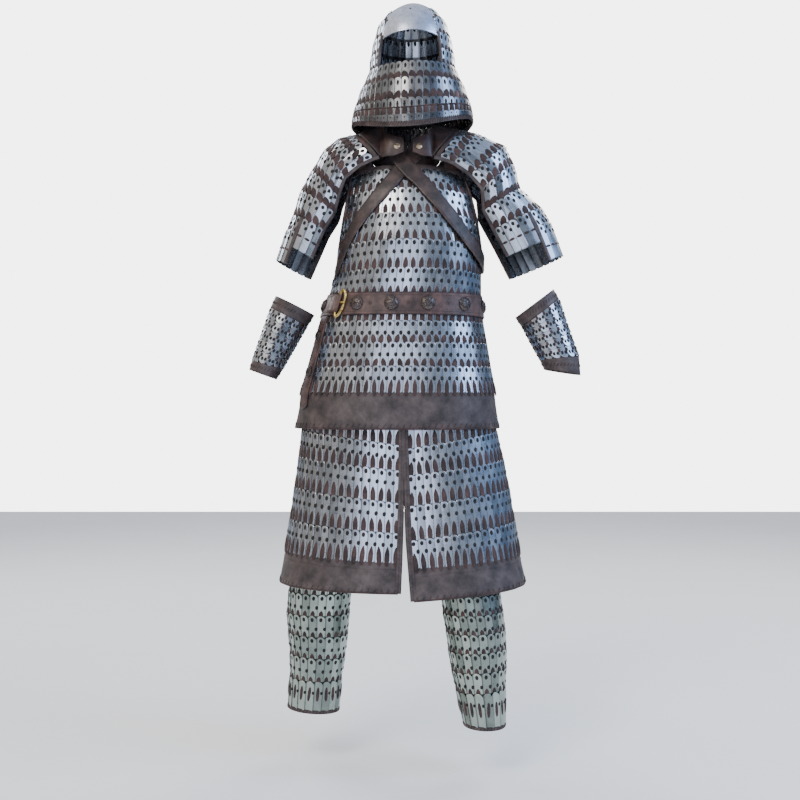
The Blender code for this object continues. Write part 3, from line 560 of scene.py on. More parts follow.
class Pile:
    """Gathers shapes into one mesh."""

    def __init__(self, *shapes: Shape) -> None:
        """Start with some shapes, or empty."""
        self.points: list[np.ndarray] = []
        self.triangles: list[np.ndarray] = []
        self.marks: list[np.ndarray] = []
        self.count = 0
        for shape in shapes:
            self.add(shape)

    def add(self, shape: Shape) -> None:
        """Add one shape."""
        marks = shape.marks if shape.marks is not None else np.zeros((len(shape.points), 3))
        self.points.append(shape.points)
        self.triangles.append(shape.triangles + self.count)
        self.marks.append(marks)
        self.count += len(shape.points)

    def build(self, name: str, finish: Finish, smooth: float = 0.0) -> bpy.types.Object:
        """Make the object.

        Args:
            name: Its name.
            finish: Its finish.
            smooth: Angle in degrees up to which its shading is smooth; 0 is flat.

        Returns:
            The object, which rides the suit's one body.
        """
        points = np.concatenate(self.points)
        triangles = np.concatenate(self.triangles)
        mesh = bpy.data.meshes.new(name)
        mesh.vertices.add(len(points))
        mesh.vertices.foreach_set("co", points.astype(np.float32).ravel())
        mesh.loops.add(len(triangles) * 3)
        mesh.loops.foreach_set("vertex_index", triangles.astype(np.int32).ravel())
        mesh.polygons.add(len(triangles))
        mesh.polygons.foreach_set("loop_start", np.arange(0, len(triangles) * 3, 3, dtype=np.int32))
        mesh.update(calc_edges=True)
        mesh.validate()
        layer = mesh.attributes.new("plate", "FLOAT_VECTOR", "POINT")
        layer.data.foreach_set("vector", np.concatenate(self.marks).astype(np.float32).ravel())
        mesh.materials.append(finish.material())
        if smooth > 0.0:
            mesh.shade_smooth()
            mesh.set_sharp_from_angle(angle=math.radians(smooth))
        else:
            mesh.shade_flat()
        item = bpy.data.objects.new(name, mesh)
        bpy.context.scene.collection.objects.link(item)
        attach(item, "root")
        return item


def grid_faces(rows: int, columns: int, closed: bool = False, flip: bool = False) -> np.ndarray:
    """Give the triangles of a grid of points.

    Args:
        rows: Number of lines.
        columns: Points in a line.
        closed: Whether each line is a ring.
        flip: Whether the faces look the other way.

    Returns:
        The triangles, which face out where the lines run down and to the viewer's right.
    """
    r, c = np.meshgrid(np.arange(rows - 1), np.arange(columns if closed else columns - 1), indexing="ij")
    d = (c + 1) % columns
    a, b = r * columns + c, r * columns + d
    e, f = (r + 1) * columns + c, (r + 1) * columns + d
    faces = np.concatenate([np.stack([a, e, f], -1).reshape(-1, 3), np.stack([a, f, b], -1).reshape(-1, 3)])
    return faces[:, ::-1] if flip else faces


@dataclass
class Hide:
    """A piece of leather or sheet metal cut from a grid of inside points.

    Args:
        lines: Row lines from the top down.
        closed: Whether it runs all round.
        thickness: Its own thickness.
        base: How far its inside stands off the grid.
        ripple: Height of the soft waves in it.
        curl: How far its lower edge turns out.
        rows: Lines that it is sampled at.
        columns: Columns that it is sampled at.
        seed: Seed of its waves.
        middle: Its outer points, once it is made.
        facing: Its outward directions, once it is made.
    """

    lines: np.ndarray
    closed: bool = False
    thickness: float = 0.0022
    base: float = 0.0003
    ripple: float = 0.0004
    curl: float = 0.0
    rows: int = 8
    columns: int = 60
    seed: int = 1
    middle: Optional[np.ndarray] = None
    facing: Optional[np.ndarray] = None

    def full_lines(self) -> np.ndarray:
        """Give its lines, brought back to their first points where it runs all round."""
        return np.concatenate([self.lines, self.lines[:, :1]], axis=1) if self.closed else self.lines

    def sampled(self) -> tuple[np.ndarray, np.ndarray, np.ndarray]:
        """Give the fine grid with the shares down it and along it."""
        full = self.full_lines()
        height = float(np.mean([walk(full[:, c])[-1] for c in range(0, full.shape[1], 4)]))
        width = float(np.mean([walk(line)[-1] for line in full]))
        inner = np.linspace(0.0, 1.0, self.rows)[1:-1]
        row_at = np.concatenate([[0.0, HIDE_RIM / height], inner, [1.0 - HIDE_RIM / height, 1.0]])
        if self.closed:
            column_at = np.linspace(0.0, 1.0, self.columns + 1)[:-1]
        else:
            inner = np.linspace(0.0, 1.0, self.columns)[1:-1]
            column_at = np.concatenate([[0.0, HIDE_RIM / width], inner, [1.0 - HIDE_RIM / width, 1.0]])
        row_at, column_at = np.unique(row_at), np.unique(column_at)
        points = sample_grid(full, row_at * (len(full) - 1), column_at * (full.shape[1] - 1))
        return points, row_at, column_at

    def shape(self) -> Shape:
        """Give the closed solid with rounded edges and soft waves."""
        points, row_at, column_at = self.sampled()
        normals = grid_normals(points, self.closed)
        r, c = points.shape[:2]
        down = row_at[:, None]
        along = column_at[None, :] * 2 * math.pi
        rng = np.random.default_rng(self.seed)
        waves = np.zeros((r, c))
        for turns in (3, 5, 8, 13):
            waves += np.sin(along * turns + rng.uniform(0, 6.28) + down * rng.uniform(1, 4)) / 4
        lift = self.base + self.ripple * (1.0 + waves) + self.curl * down ** 2 * (1.0 + 0.5 * waves)
        drop = np.zeros((r, c))
        drop[[0, -1], :] = self.thickness * HIDE_ROUNDING
        if not self.closed:
            drop[:, [0, -1]] = self.thickness * HIDE_ROUNDING
        outer = points + normals * (lift + self.thickness - drop)[:, :, None]
        inner = points + normals * lift[:, :, None]
        self.middle, self.facing = outer, normals
        return wrap_solid(outer, inner, self.closed)

    def sewn(self, where: tuple, pitch: float, length: float, width: float = 0.0011, height: float = 0.0007,
             aslant: float = 0.0, seed: int = 0) -> Shape:
        """Give a run of stitches along one line of its made points.

        Args:
            where: The line's place in the made grid.
            pitch: Distance from one stitch to the next.
            length: Length of one.
            width: Its width.
            height: How far it stands off.
            aslant: Degrees that it is turned from the line.
            seed: Seed of its small differences.

        Returns:
            The stitches as one shape.
        """
        path, facing = self.middle[where], self.facing[where]
        if self.closed:
            path, facing = looped(path), looped(facing)
        return stitches(path, facing, pitch, length, width, height, aslant, seed)

    def edge_bar(self, row: int, half_width: float, half_height: float) -> Shape:
        """Give a bar that runs along one row of its made points."""
        return bar(self.middle[row], self.facing[row], half_width, half_height, closed=self.closed)

    def size(self) -> tuple[float, float, float]:
        """Give its flat width, length and area."""
        lines = self.full_lines()
        width = max(walk(lines[:, c])[-1] for c in range(lines.shape[1]))
        length = max(walk(line)[-1] for line in lines)
        a, b = lines[1:, 1:] - lines[:-1, :-1], lines[1:, :-1] - lines[:-1, 1:]
        area = float(np.linalg.norm(np.cross(a, b), axis=-1).sum() / 2)
        return round(float(width), 4), round(float(length), 4), area


def wrap_solid(outer: np.ndarray, inner: np.ndarray, closed: bool) -> Shape:
    """Close two grids into a solid.

    Args:
        outer: The outer points.
        inner: The inner points.
        closed: Whether each line is a ring.

    Returns:
        The solid.
    """
    rows, columns = outer.shape[:2]
    points = np.concatenate([outer.reshape(-1, 3), inner.reshape(-1, 3)])
    start = rows * columns
    faces = [grid_faces(rows, columns, closed), grid_faces(rows, columns, closed, flip=True) + start]
    c = np.arange(columns if closed else columns - 1)
    d = (c + 1) % columns
    last = (rows - 1) * columns
    faces.append(np.stack([start + c, c, d], -1))
    faces.append(np.stack([start + c, d, start + d], -1))
    faces.append(np.stack([last + c, start + last + c, last + d], -1))
    faces.append(np.stack([last + d, start + last + c, start + last + d], -1))
    if not closed:
        r = np.arange(rows - 1) * columns
        for column, turned in ((0, False), (columns - 1, True)):
            a, b = r + column, r + columns + column
            side = np.concatenate([np.stack([a, start + a, b], -1), np.stack([b, start + a, start + b], -1)])
            faces.append(side[:, ::-1] if turned else side)
    return Shape(points, np.concatenate(faces))


def bar(path: np.ndarray, facing: np.ndarray, half_width: float, half_height: float, closed: bool = False,
        sides: int = 8, taper: bool = False) -> Shape:
    """Sweep a rounded bar along a path.

    Args:
        path: Points of its middle.
        facing: Outward direction at each point.
        half_width: Half of its width across the surface.
        half_height: Half of its height off the surface.
        closed: Whether it is a ring.
        sides: Points round it.
        taper: Whether its ends are drawn in.

    Returns:
        The solid.
    """
    if closed:
        ahead = np.roll(path, -1, axis=0) - np.roll(path, 1, axis=0)
    else:
        ahead = np.gradient(path, axis=0)
    across = unit(np.cross(ahead, facing))
    u, v = full_oval(full_turn(sides), BAR_POWER)
    size = np.ones((len(path), 1, 1))
    if taper:
        size[[0, -1]] = TAPERED_END
    points = (path[:, None] + across[:, None] * (u[None, :, None] * half_width * size)
              + facing[:, None] * (v[None, :, None] * half_height * size)).reshape(-1, 3)
    n = len(path)
    faces = [grid_faces(n + 1 if closed else n, sides, True) % (n * sides)]
    if not closed:
        for end, turned in ((0, True), (n - 1, False)):
            i = np.arange(1, sides - 1)
            cap = np.stack([np.full_like(i, end * sides), end * sides + i, end * sides + i + 1], -1)
            faces.append(cap[:, ::-1] if turned else cap)
    return Shape(points, np.concatenate(faces))


def stamp(template: Shape, origins: np.ndarray, across: np.ndarray, down: np.ndarray, out: np.ndarray,
          tones: Optional[np.ndarray] = None) -> Shape:
    """Set a copy of a shape at each place.

    Args:
        template: The shape in its own across, down and out directions.
        origins: The places.
        across: Its first direction at each place, with the scale in its length.
        down: Its second direction.
        out: Its third direction.
        tones: A tone for each copy.

    Returns:
        All copies as one shape.
    """
    t = template.points
    points = (origins[:, None] + across[:, None] * t[None, :, 0:1] + down[:, None] * t[None, :, 1:2]
              + out[:, None] * t[None, :, 2:3])
    shift = (np.arange(len(origins)) * len(t))[:, None, None]
    faces = template.triangles[None] + shift
    marks = np.zeros((len(origins), len(t), 3))
    if tones is not None:
        marks[:, :, 2] = tones[:, None]
    return Shape(points.reshape(-1, 3), faces.reshape(-1, 3), marks.reshape(-1, 3))


def pad_template(rings: int = 4, segments: int = 10, power: float = 2.3) -> Shape:
    """Give a domed oval one unit in half length, half width and height.

    Args:
        rings: Rings from its rim to its top.
        segments: Points in a ring.
        power: How full its outline is.

    Returns:
        The shape, closed below.
    """
    x, y = full_oval(full_turn(segments), power)
    rise = np.arange(rings)[:, None] / rings * math.pi / 2
    dome = np.stack([x * np.cos(rise), y * np.cos(rise), np.sin(rise) + 0.0 * x], -1).reshape(-1, 3)
    top, base = rings * segments, rings * segments + 1
    i = np.arange(segments)
    j = (i + 1) % segments
    last = (rings - 1) * segments
    faces = [grid_faces(rings, segments, True, flip=True),
             np.stack([last + i, last + j, np.full_like(i, top)], -1),
             np.stack([j, i, np.full_like(i, base)], -1)]
    return Shape(np.concatenate([dome, [(0.0, 0.0, 1.0), (0.0, 0.0, -0.1)]]), np.concatenate(faces))


def pointed(pad: Shape, share: float = 0.62) -> Shape:
    """Draw in one end of a domed oval, as a pulled thong has.

    Args:
        pad: The oval, whose first direction runs towards its full end.
        share: How much narrower its drawn end is.

    Returns:
        The new shape.
    """
    points = pad.points.copy()
    toward = np.clip(-points[:, 0], 0.0, 1.0)
    points[:, 1] *= 1.0 - share * toward ** 1.8
    points[:, 2] *= 1.0 - 0.25 * toward
    return Shape(points, pad.triangles)


@dataclass(frozen=True)
class Hole:
    """One lace hole of a plate, with the thong that fills it, coloured nearly black as painted shade.

    Args:
        across: Its place in shares of the plates' spacing, 0 in the middle.
        down: Metres below the plate's rounded top.
        half_width: Half of its width.
        half_height: Half of its height.
    """

    across: float
    down: float
    half_width: float = 0.0032
    half_height: float = 0.0040


@dataclass(frozen=True)
class PlateCut:
    """How one kind of plate is cut.

    Args:
        spacing: Width that one plate takes up in its row.
        holes: Its lace holes, cut right through.
        knots: Thong that lies over the seam to the next plate, or over the plate itself.
        arch: How far the corners of its rounded top lie below its middle.
        reach: How far it runs on under the next row.
        foot: How far the corners of its lower end are rounded.
        lift_top: Its face above the wall's inside, at its top.
        lift_bottom: The same at its lower end.
        hung: Whether its rounded end points down, as on a scale.
    """

    spacing: float
    holes: tuple[Hole, ...]
    knots: tuple[Hole, ...] = ()
    arch: float = 0.0066
    reach: float = 0.0070
    foot: float = 0.0010
    lift_top: float = 0.0049
    lift_bottom: float = 0.0019
    hung: bool = False

    def outline(self, width: float, length: float, inset: float) -> np.ndarray:
        """Give the plate's outline.

        Args:
            width: Spacing of the plates.
            length: Length of the row.
            inset: How far it is drawn in.

        Returns:
            Its points, from the left end of the top round by the right.
        """
        half = width / 2 + PLATE_OVERLAP
        x = np.sin(np.linspace(-math.pi / 2, math.pi / 2, 13)) * half
        y = self.arch * (1.0 - np.sqrt(np.maximum(0.0, 1.0 - (x / half) ** 2)))
        low = length + self.reach
        x, y = x * (half - inset) / half, y + inset
        foot = max(self.foot, 0.0002)
        bottom = [(half - inset, low - foot), (half - inset - foot, low - inset),
                  (-half + inset + foot, low - inset), (-half + inset, low - foot)]
        return np.array([*zip(x, y), *bottom])

    def template(self, width: float, length: float) -> Shape:
        """Give one plate in across and down shares, with its height in metres.

        Args:
            width: Spacing of the plates.
            length: Length of the row.

        Returns:
            The closed plate with its bevel and holes.
        """
        rim = self.outline(width, length, 0.0)
        face = self.outline(width, length, PLATE_BEVEL)
        turn = full_turn(HOLE_SIDES)
        rings = []
        for hole in self.holes:
            middle = np.array([hole.across * width, hole.down])
            size = np.array([hole.half_width, hole.half_height])
            rings.append(middle + size * np.stack([np.cos(turn), np.sin(turn)], 1))
        points, faces = [], []
        starts = {}

        def keep(label: str, flat: np.ndarray, height: float) -> None:
            """Keep flat points at one height, and where they start."""
            starts[label] = sum(len(p) for p in points)
            points.append(np.column_stack([flat, np.full(len(flat), height)]))

        keep("face", np.concatenate([face, *rings]), 0.0)
        keep("rim", rim, -PLATE_BEVEL * 0.7)
        keep("back", np.concatenate([rim, *rings]), -STEEL_SHEET)
        faces.append(self.fill(face, rings) + starts["face"])
        faces.append(self.fill(rim, rings)[:, ::-1] + starts["back"])
        count = len(rim)
        i = np.arange(count)
        j = (i + 1) % count
        for upper, lower in (("face", "rim"), ("rim", "back")):
            a, b = starts[upper] + i, starts[upper] + j
            c, d = starts[lower] + i, starts[lower] + j
            faces += [np.stack([a, d, c], 1), np.stack([a, b, d], 1)]
        i = np.arange(HOLE_SIDES)
        j = (i + 1) % HOLE_SIDES
        for number in range(len(rings)):
            first = count + number * HOLE_SIDES
            a, b = starts["face"] + first + i, starts["face"] + first + j
            c, d = starts["back"] + first + i, starts["back"] + first + j
            faces += [np.stack([a, c, d], 1), np.stack([a, d, b], 1)]
        flat = np.concatenate(points)
        # The marks hold the share across the plate and the share down its row; the finish paints shade from
        # them under the next row and the next plate.
        half = width / 2 + PLATE_OVERLAP
        marks = np.column_stack([flat[:, 0] / half, flat[:, 1] / length, np.zeros(len(flat))])
        shares = np.column_stack([flat[:, 0] / width, flat[:, 1] / length, flat[:, 2]])
        return Shape(shares, np.concatenate(faces), marks)

    def fill(self, outline: np.ndarray, rings: list[np.ndarray]) -> np.ndarray:
        """Fill the plate between its outline and its holes.

        Args:
            outline: The outline's points.
            rings: The points of each hole.

        Returns:
            The triangles, which face outward.
        """
        flat = np.concatenate([outline, *rings]) if rings else outline
        loops = [list(range(len(outline)))]
        for number in range(len(rings)):
            first = len(outline) + number * HOLE_SIDES
            loops.append(list(range(first, first + HOLE_SIDES)))
        edges = [(loop[i], loop[(i + 1) % len(loop)]) for loop in loops for i in range(len(loop))]
        found = delaunay_2d_cdt([Vector(p) for p in flat], edges, [], 1, 1e-7)
        places = np.array([tuple(p) for p in found[0]])
        nearest = [int(np.argmin(((flat - place) ** 2).sum(1))) for place in places]
        kept = []
        for face in found[2]:
            corners = [nearest[i] for i in face]
            middle = flat[corners].mean(0)
            if any(((middle - ring.mean(0)) ** 2 / np.ptp(ring, axis=0) ** 2).sum() < 0.2 for ring in rings):
                continue
            a, b, c = flat[corners]
            turn = (b[0] - a[0]) * (c[1] - a[1]) - (b[1] - a[1]) * (c[0] - a[0])
            kept.append(corners if turn < 0 else corners[::-1])
        return np.array(kept)


@dataclass(frozen=True)
class LaceCut:
    """How the laces of one row look.

    Args:
        kind: How they run.
        length: Length of one.
        width: Its width.
        height: How far it stands off the plate.
        above: How far its lower end lies above the next row's line.
        across: Its place in shares of the plates' spacing.
        lean: How far it leans, in degrees.
    """

    kind: Lacing
    length: float = 0.025
    width: float = 0.0086
    height: float = 0.0022
    above: float = 0.0005
    across: float = 0.06
    lean: float = 0.0


def between(corners: Sequence[np.ndarray], a: np.ndarray, b: np.ndarray) -> np.ndarray:
    """Give points inside four-cornered places.

    Args:
        corners: The places' upper left, upper right, lower left and lower right corners.
        a: Shares across.
        b: Shares down.

    Returns:
        The points.
    """
    tl, tr, bl, br = corners
    return (1 - b) * ((1 - a) * tl + a * tr) + b * ((1 - a) * bl + a * br)


class LacedWall:
    """A panel or hoop of plates that are laced in rows."""

    def __init__(self, label: str, lines: np.ndarray, closed: bool, seed: int) -> None:
        """Keep the panel's row lines.

        Args:
            label: Name that its pieces start with.
            lines: Inside of the wall at each row line, from the top down.
            closed: Whether it runs all round.
            seed: Seed of the plates' small differences.
        """
        self.label = label
        self.lines = lines
        self.closed = closed
        self.rng = np.random.default_rng(seed)
        self.plates = Pile()
        self.laces = Pile()
        self.knots = Pile()
        self.plate_count = 0

    def add_row(self, row: int, cut: PlateCut, lace: Optional[LaceCut]) -> None:
        """Lay the plates of one row and its laces.

        Args:
            row: Number of the row's upper line.
            cut: How its plates are cut.
            lace: How it is laced to the row below.
        """
        upper, lower = self.lines[row], self.lines[row + 1]
        run = walk(looped(upper) if self.closed else upper)[-1]
        fall = walk(looped(lower) if self.closed else lower)[-1]
        count = max(2, round((run + fall) / 2 / cut.spacing))
        top = even_points(upper, count, self.closed)
        bottom = even_points(lower, count, self.closed)
        width = (run + fall) / 2 / count
        length = float(np.linalg.norm(bottom - top, axis=1).mean())
        template = cut.template(width, length)
        corners = (top[:-1], top[1:], bottom[:-1], bottom[1:])
        if cut.hung:
            corners = corners[::-1]
        tl, tr, bl, br = corners
        down = (bl + br - tl - tr) / 2
        across = (tr + br - tl - bl) / 2
        out = unit(np.cross(down, across))
        a = template.points[None, :, 0:1] + 0.5
        b = template.points[None, :, 1:2]
        n = template.points[None, :, 2:3]
        wobble = self.rng.uniform(-1.0, 1.0, (2, count, 1, 1)) * PLATE_WOBBLE
        height = (cut.lift_top * (1 - b) + cut.lift_bottom * b + n + PLATE_STEP * (a - 0.5)
                  + wobble[0] * (a - 0.5) + wobble[1] * (b - 0.5))
        points = between([corner[:, None] for corner in corners], a, b) + out[:, None] * height
        tone = self.rng.uniform(0.6, 1.0, count)
        marks = np.repeat(template.marks[None], count, axis=0)
        marks[:, :, 2] = tone[:, None]
        faces = template.triangles[None] + (np.arange(count) * len(template.points))[:, None, None]
        self.plates.add(Shape(points.reshape(-1, 3), faces.reshape(-1, 3), marks.reshape(-1, 3)))
        self.plate_count += count
        side = unit(across)
        fall = unit(np.cross(out, side))
        for holes, grow, (depth, rise) in ((cut.holes, HOLE_FILL, HOLE_KNOT), (cut.knots, 1.0, SEAM_KNOT)):
            for hole in holes:
                b = hole.down / length
                lift = cut.lift_top * (1 - b) + cut.lift_bottom * b + PLATE_STEP * hole.across
                spot = between(corners, 0.5 + hole.across, b) + out * (lift - depth)
                self.knots.add(stamp(KNOT, spot, side * hole.half_width * grow,
                                     fall * hole.half_height * grow, out * rise))
        if lace is not None:
            self.lace_row(lace, cut, corners, out, length)

    def lace_row(self, lace: LaceCut, cut: PlateCut, corners: Sequence[np.ndarray], out: np.ndarray,
                 length: float) -> None:
        """Set a lace on each plate, just above the next row.

        Args:
            lace: How the laces look.
            cut: How the plates are cut.
            corners: Corners of each plate's place, as in between().
            out: Outward direction of each plate.
            length: Length of the row.
        """
        tl, tr, bl, br = corners
        count = len(tl)
        b = (length - lace.above - lace.length / 2) / length
        half_width = min(lace.width, LACE_FILL * float(np.linalg.norm(tr - tl, axis=1).mean())) / 2
        a = 0.5 + lace.across + self.rng.uniform(-LACE_SHIFT, LACE_SHIFT, (count, 1))
        lift = cut.lift_top * (1 - b) + cut.lift_bottom * b + PLATE_STEP * lace.across + LACE_SEAT
        spot = between(corners, a, b) + out * lift
        down = unit((1 - a) * (bl - tl) + a * (br - tr))
        across = unit(np.cross(out, down))
        lean = np.radians(lace.lean + self.rng.uniform(-LACE_TURN, LACE_TURN, count))
        if lace.kind is Lacing.PAIRED:
            lean = lean + np.radians(np.where(np.arange(count) % 2 == 0, PAIR_LEAN, -PAIR_LEAN))
        lean = lean[:, None]
        along = down * np.cos(lean) + across * np.sin(lean)
        side = across * np.cos(lean) - down * np.sin(lean)
        tones = self.rng.uniform(0.0, 1.0, count)
        form = PAD if lace.kind is Lacing.SMALL else THONG_LOOP
        self.laces.add(stamp(form, spot, along * lace.length / 2, side * half_width, out * lace.height,
                             tones))
        if lace.kind is Lacing.DOUBLE:
            place = spot - along * lace.length * 0.28
            self.laces.add(stamp(PAD, place, side * lace.width * 1.1, along * CROSS_BAR,
                                 out * lace.height * 1.15, tones))

    def build(self, finish: Finish) -> list[bpy.types.Object]:
        """Make the plates and the laces.

        Args:
            finish: The plates' finish.

        Returns:
            The objects.
        """
        made = [self.plates.build(self.label + "_plates", finish)]
        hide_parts(self.label)
        if self.laces.points:
            made.append(self.laces.build(self.label + "_laces", THONG, smooth=THONG_SMOOTH))
        # The knots in the holes and over the seams are drawn in the nearly black thong, as painted shade.
        if self.knots.points:
            made.append(self.knots.build(self.label + "_knots", DARK_THONG, smooth=THONG_SMOOTH))
        LOG.info("%s: %d plates", self.label, self.plate_count)
        return made


PAD = pad_template()
THONG_LOOP = pointed(pad_template(4, 14, 2.3))
KNOT = pad_template(2, 10, 2.0)


def make_hide(name: str, hide: Hide, finish: Finish,
              replaces: Optional[str] = None, declared: bool = True) -> bpy.types.Object:
    """Make one piece of leather or sheet metal.

    Args:
        name: Its name.
        hide: Its cut and form.
        finish: Its finish.
        replaces: The part's node that it stands for.
        declared: Whether its flat width, length and area are worked out; nothing uses them after that.

    Returns:
        The object.
    """
    item = Pile(hide.shape()).build(name, finish, smooth=LEATHER_SMOOTH)
    if replaces:
        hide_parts(replaces)
    if declared:
        width, length, area = hide.size()
        if width < NARROWEST_CUT:
            width += hide.thickness * 1.1        # the turned edge of a narrow strip
            area = width * length
    return item


def stitches(path: np.ndarray, facing: np.ndarray, pitch: float, length: float, width: float = 0.0011,
             height: float = 0.0007, aslant: float = 0.0, seed: int = 0) -> Shape:
    """Set a run of stitches along a path.

    Args:
        path: Points on the surface.
        facing: Outward direction at each point.
        pitch: Distance from one stitch to the next.
        length: Length of one.
        width: Its width.
        height: How far it stands off.
        aslant: Degrees that it is turned from the path.
        seed: Seed of its small differences.

    Returns:
        The stitches as one shape.
    """
    run = walk(path)
    count = max(1, int(run[-1] / pitch))
    at = (np.arange(count) + 0.5) * run[-1] / count
    spot = read_along(path, run, at)
    out = unit(read_along(facing, run, at))
    ahead = read_along(path, run, at + 0.0005) - read_along(path, run, at - 0.0005)
    ahead = unit(ahead - out * (ahead * out).sum(1, keepdims=True))
    side = np.cross(out, ahead)
    rng = np.random.default_rng(seed)
    turn = np.radians(aslant + rng.uniform(-4.0, 4.0, count))[:, None]
    along = ahead * np.cos(turn) + side * np.sin(turn)
    beside = side * np.cos(turn) - ahead * np.sin(turn)
    return stamp(PAD, spot, along * length / 2, beside * width / 2, out * height, rng.uniform(0, 1, count))


def bound_ends(lines: np.ndarray, first: int = 0, stop: Optional[int] = None, half_width: float = 0.0042,
               half_height: float = 0.0040) -> list[Shape]:
    """Give the leather that is folded over both ends of a panel's rows.

    Args:
        lines: The panel's row lines.
        first: The line that it starts at.
        stop: The line that it ends before.
        half_width: Half of its width.
        half_height: Half of its height.

    Returns:
        One shape for each end.
    """
    normals = grid_normals(lines, False)
    made = []
    for column in (0, -1):
        facing = normals[first:stop, column]
        path = lines[first:stop, column] + facing * BINDING_LIFT
        run = walk(path)
        at = np.linspace(0.0, run[-1], max(4, int(run[-1] / BINDING_STEP)))
        outward = unit(read_along(facing, run, at))
        made.append(bar(read_along(path, run, at), outward, half_width, half_height))
    return made


def round_band(lines: np.ndarray, columns: int, seed: int) -> Hide:
    """Give the leather band that runs all round between two row lines."""
    return Hide(lines, closed=True, thickness=0.0028, base=0.0002, ripple=0.0003, rows=7, columns=columns,
                seed=seed)


def tucked(lines: np.ndarray, tuck: float) -> np.ndarray:
    """Give a hem's two lines, with the upper one moved under the last row by tuck metres."""
    rise = tuck / float(np.linalg.norm(lines[-2] - lines[-3], axis=1).mean())
    return np.array([lines[-2] * (1 - rise) + lines[-3] * rise, lines[-1]])


def blend(one: Line, other: Line, share: float) -> Line:
    """Give the row line that lies a share of the way from one to another of its kind."""
    pairs = [(getattr(one, part.name), getattr(other, part.name)) for part in fields(one)[1:]]
    return type(one)("blend", *[a + (b - a) * share for a, b in pairs])


@dataclass(frozen=True)
class BodyLine:
    """One row line of the cuirass, on the inside of its wall."""

    name: str
    height: float
    drop: float
    half_width: float
    front: float
    back: float
    centre_x: float
    half_angle: float


@dataclass(frozen=True)
class Body:
    """The form of the worn cuirass, which the straps and the belt lie on."""

    lines: tuple[BodyLine, ...] = (
        BodyLine("neck_edge", 1.413, 0.020, 0.146, 0.080, 0.104, 0.012, 61.0),
        BodyLine("row_1", 1.402, 0.020, 0.148, 0.085, 0.106, 0.012, 61.0),
        BodyLine("row_2", 1.352, 0.012, 0.156, 0.114, 0.121, 0.015, 64.0),
        BodyLine("row_3", 1.293, 0.010, 0.163, 0.134, 0.129, 0.017, 71.0),
        BodyLine("row_4", 1.231, 0.010, 0.168, 0.143, 0.127, 0.017, 87.0),
        BodyLine("row_5", 1.166, 0.008, 0.170, 0.145, 0.121, 0.013, 90.0),
        BodyLine("row_6", 1.101, 0.004, 0.180, 0.143, 0.118, 0.003, 90.0),
        BodyLine("row_7", 1.043, 0.000, 0.193, 0.147, 0.123, -0.004, 90.0),
        BodyLine("row_8", 0.993, 0.000, 0.204, 0.154, 0.135, -0.006, 90.0),
        BodyLine("row_9", 0.938, 0.000, 0.216, 0.161, 0.147, -0.009, 90.0),
        BodyLine("hem_band", 0.877, 0.000, 0.231, 0.168, 0.156, -0.012, 90.0),
        BodyLine("hem_edge", 0.794, 0.000, 0.240, 0.174, 0.163, -0.013, 90.0),
    )

    def points(self, angles: np.ndarray, line: BodyLine) -> np.ndarray:
        """Give the inside of the wall on one row line at each angle.

        Args:
            angles: Degrees, where 0 is the front.
            line: The row line.

        Returns:
            The points.
        """
        x, y = plan_points(angles, line.half_width, line.front, line.back)
        sideways = np.sin(np.radians(angles)) ** 2
        height = GROUND_Z + line.height - line.drop * sideways
        return np.stack([line.centre_x + x, y, height], axis=-1)

    def surface(self, angle: float, height: float) -> np.ndarray:
        """Give the inside of the wall at an angle and a height.

        Args:
            angle: Degrees, where 0 is the front.
            height: Height above the wearer's ground.

        Returns:
            The point.
        """
        share = math.sin(math.radians(angle)) ** 2
        for upper, lower in zip(self.lines, self.lines[1:]):
            top = upper.height - upper.drop * share
            bottom = lower.height - lower.drop * share
            if height >= bottom or lower is self.lines[-1]:
                part = (top - height) / (top - bottom)
                at = np.array([angle])
                return self.points(at, upper)[0] * (1 - part) + self.points(at, lower)[0] * part
        raise ValueError(height)

    def outward(self, angle: float, height: float) -> np.ndarray:
        """Give the direction that the wall faces."""
        along = self.surface(angle + 2.0, height) - self.surface(angle - 2.0, height)
        down = self.surface(angle, height - 0.02) - self.surface(angle, height + 0.02)
        return unit(np.cross(down, along))

    def on(self, angle: float, height: float, lift: float) -> np.ndarray:
        """Give a point that stands off the inside of the wall by lift."""
        return self.surface(angle, height) + self.outward(angle, height) * lift

    def patch(self, angles: np.ndarray, heights: np.ndarray, lift: Union[float, np.ndarray]) -> np.ndarray:
        """Give a grid of such points, where lift may differ from one angle to the next."""
        lifts = np.broadcast_to(lift, len(angles))
        return np.array([[self.on(a, h, rise) for a, rise in zip(angles, lifts)] for h in heights])


BODY = Body()
BODY_CUT = PlateCut(0.0180, (Hole(0.04, 0.0094, 0.0043, 0.0058),), (Hole(0.5, 0.0295, 0.0042, 0.0058),),
                    arch=0.0100)
HEM_CUT = replace(BODY_CUT, reach=0.0015, foot=0.0045, lift_bottom=0.0042)
BODY_LACE = LaceCut(Lacing.OVAL, length=0.031, width=0.0118, height=0.0024, above=-0.0074)
LEANING_LACE = LaceCut(Lacing.PAIRED, length=0.024, width=0.0124, above=-0.0050)
BODY_LACES = {7: LEANING_LACE, 8: LEANING_LACE,
              9: LaceCut(Lacing.OVAL, length=0.040, width=0.0108, height=0.0026, above=-0.009)}


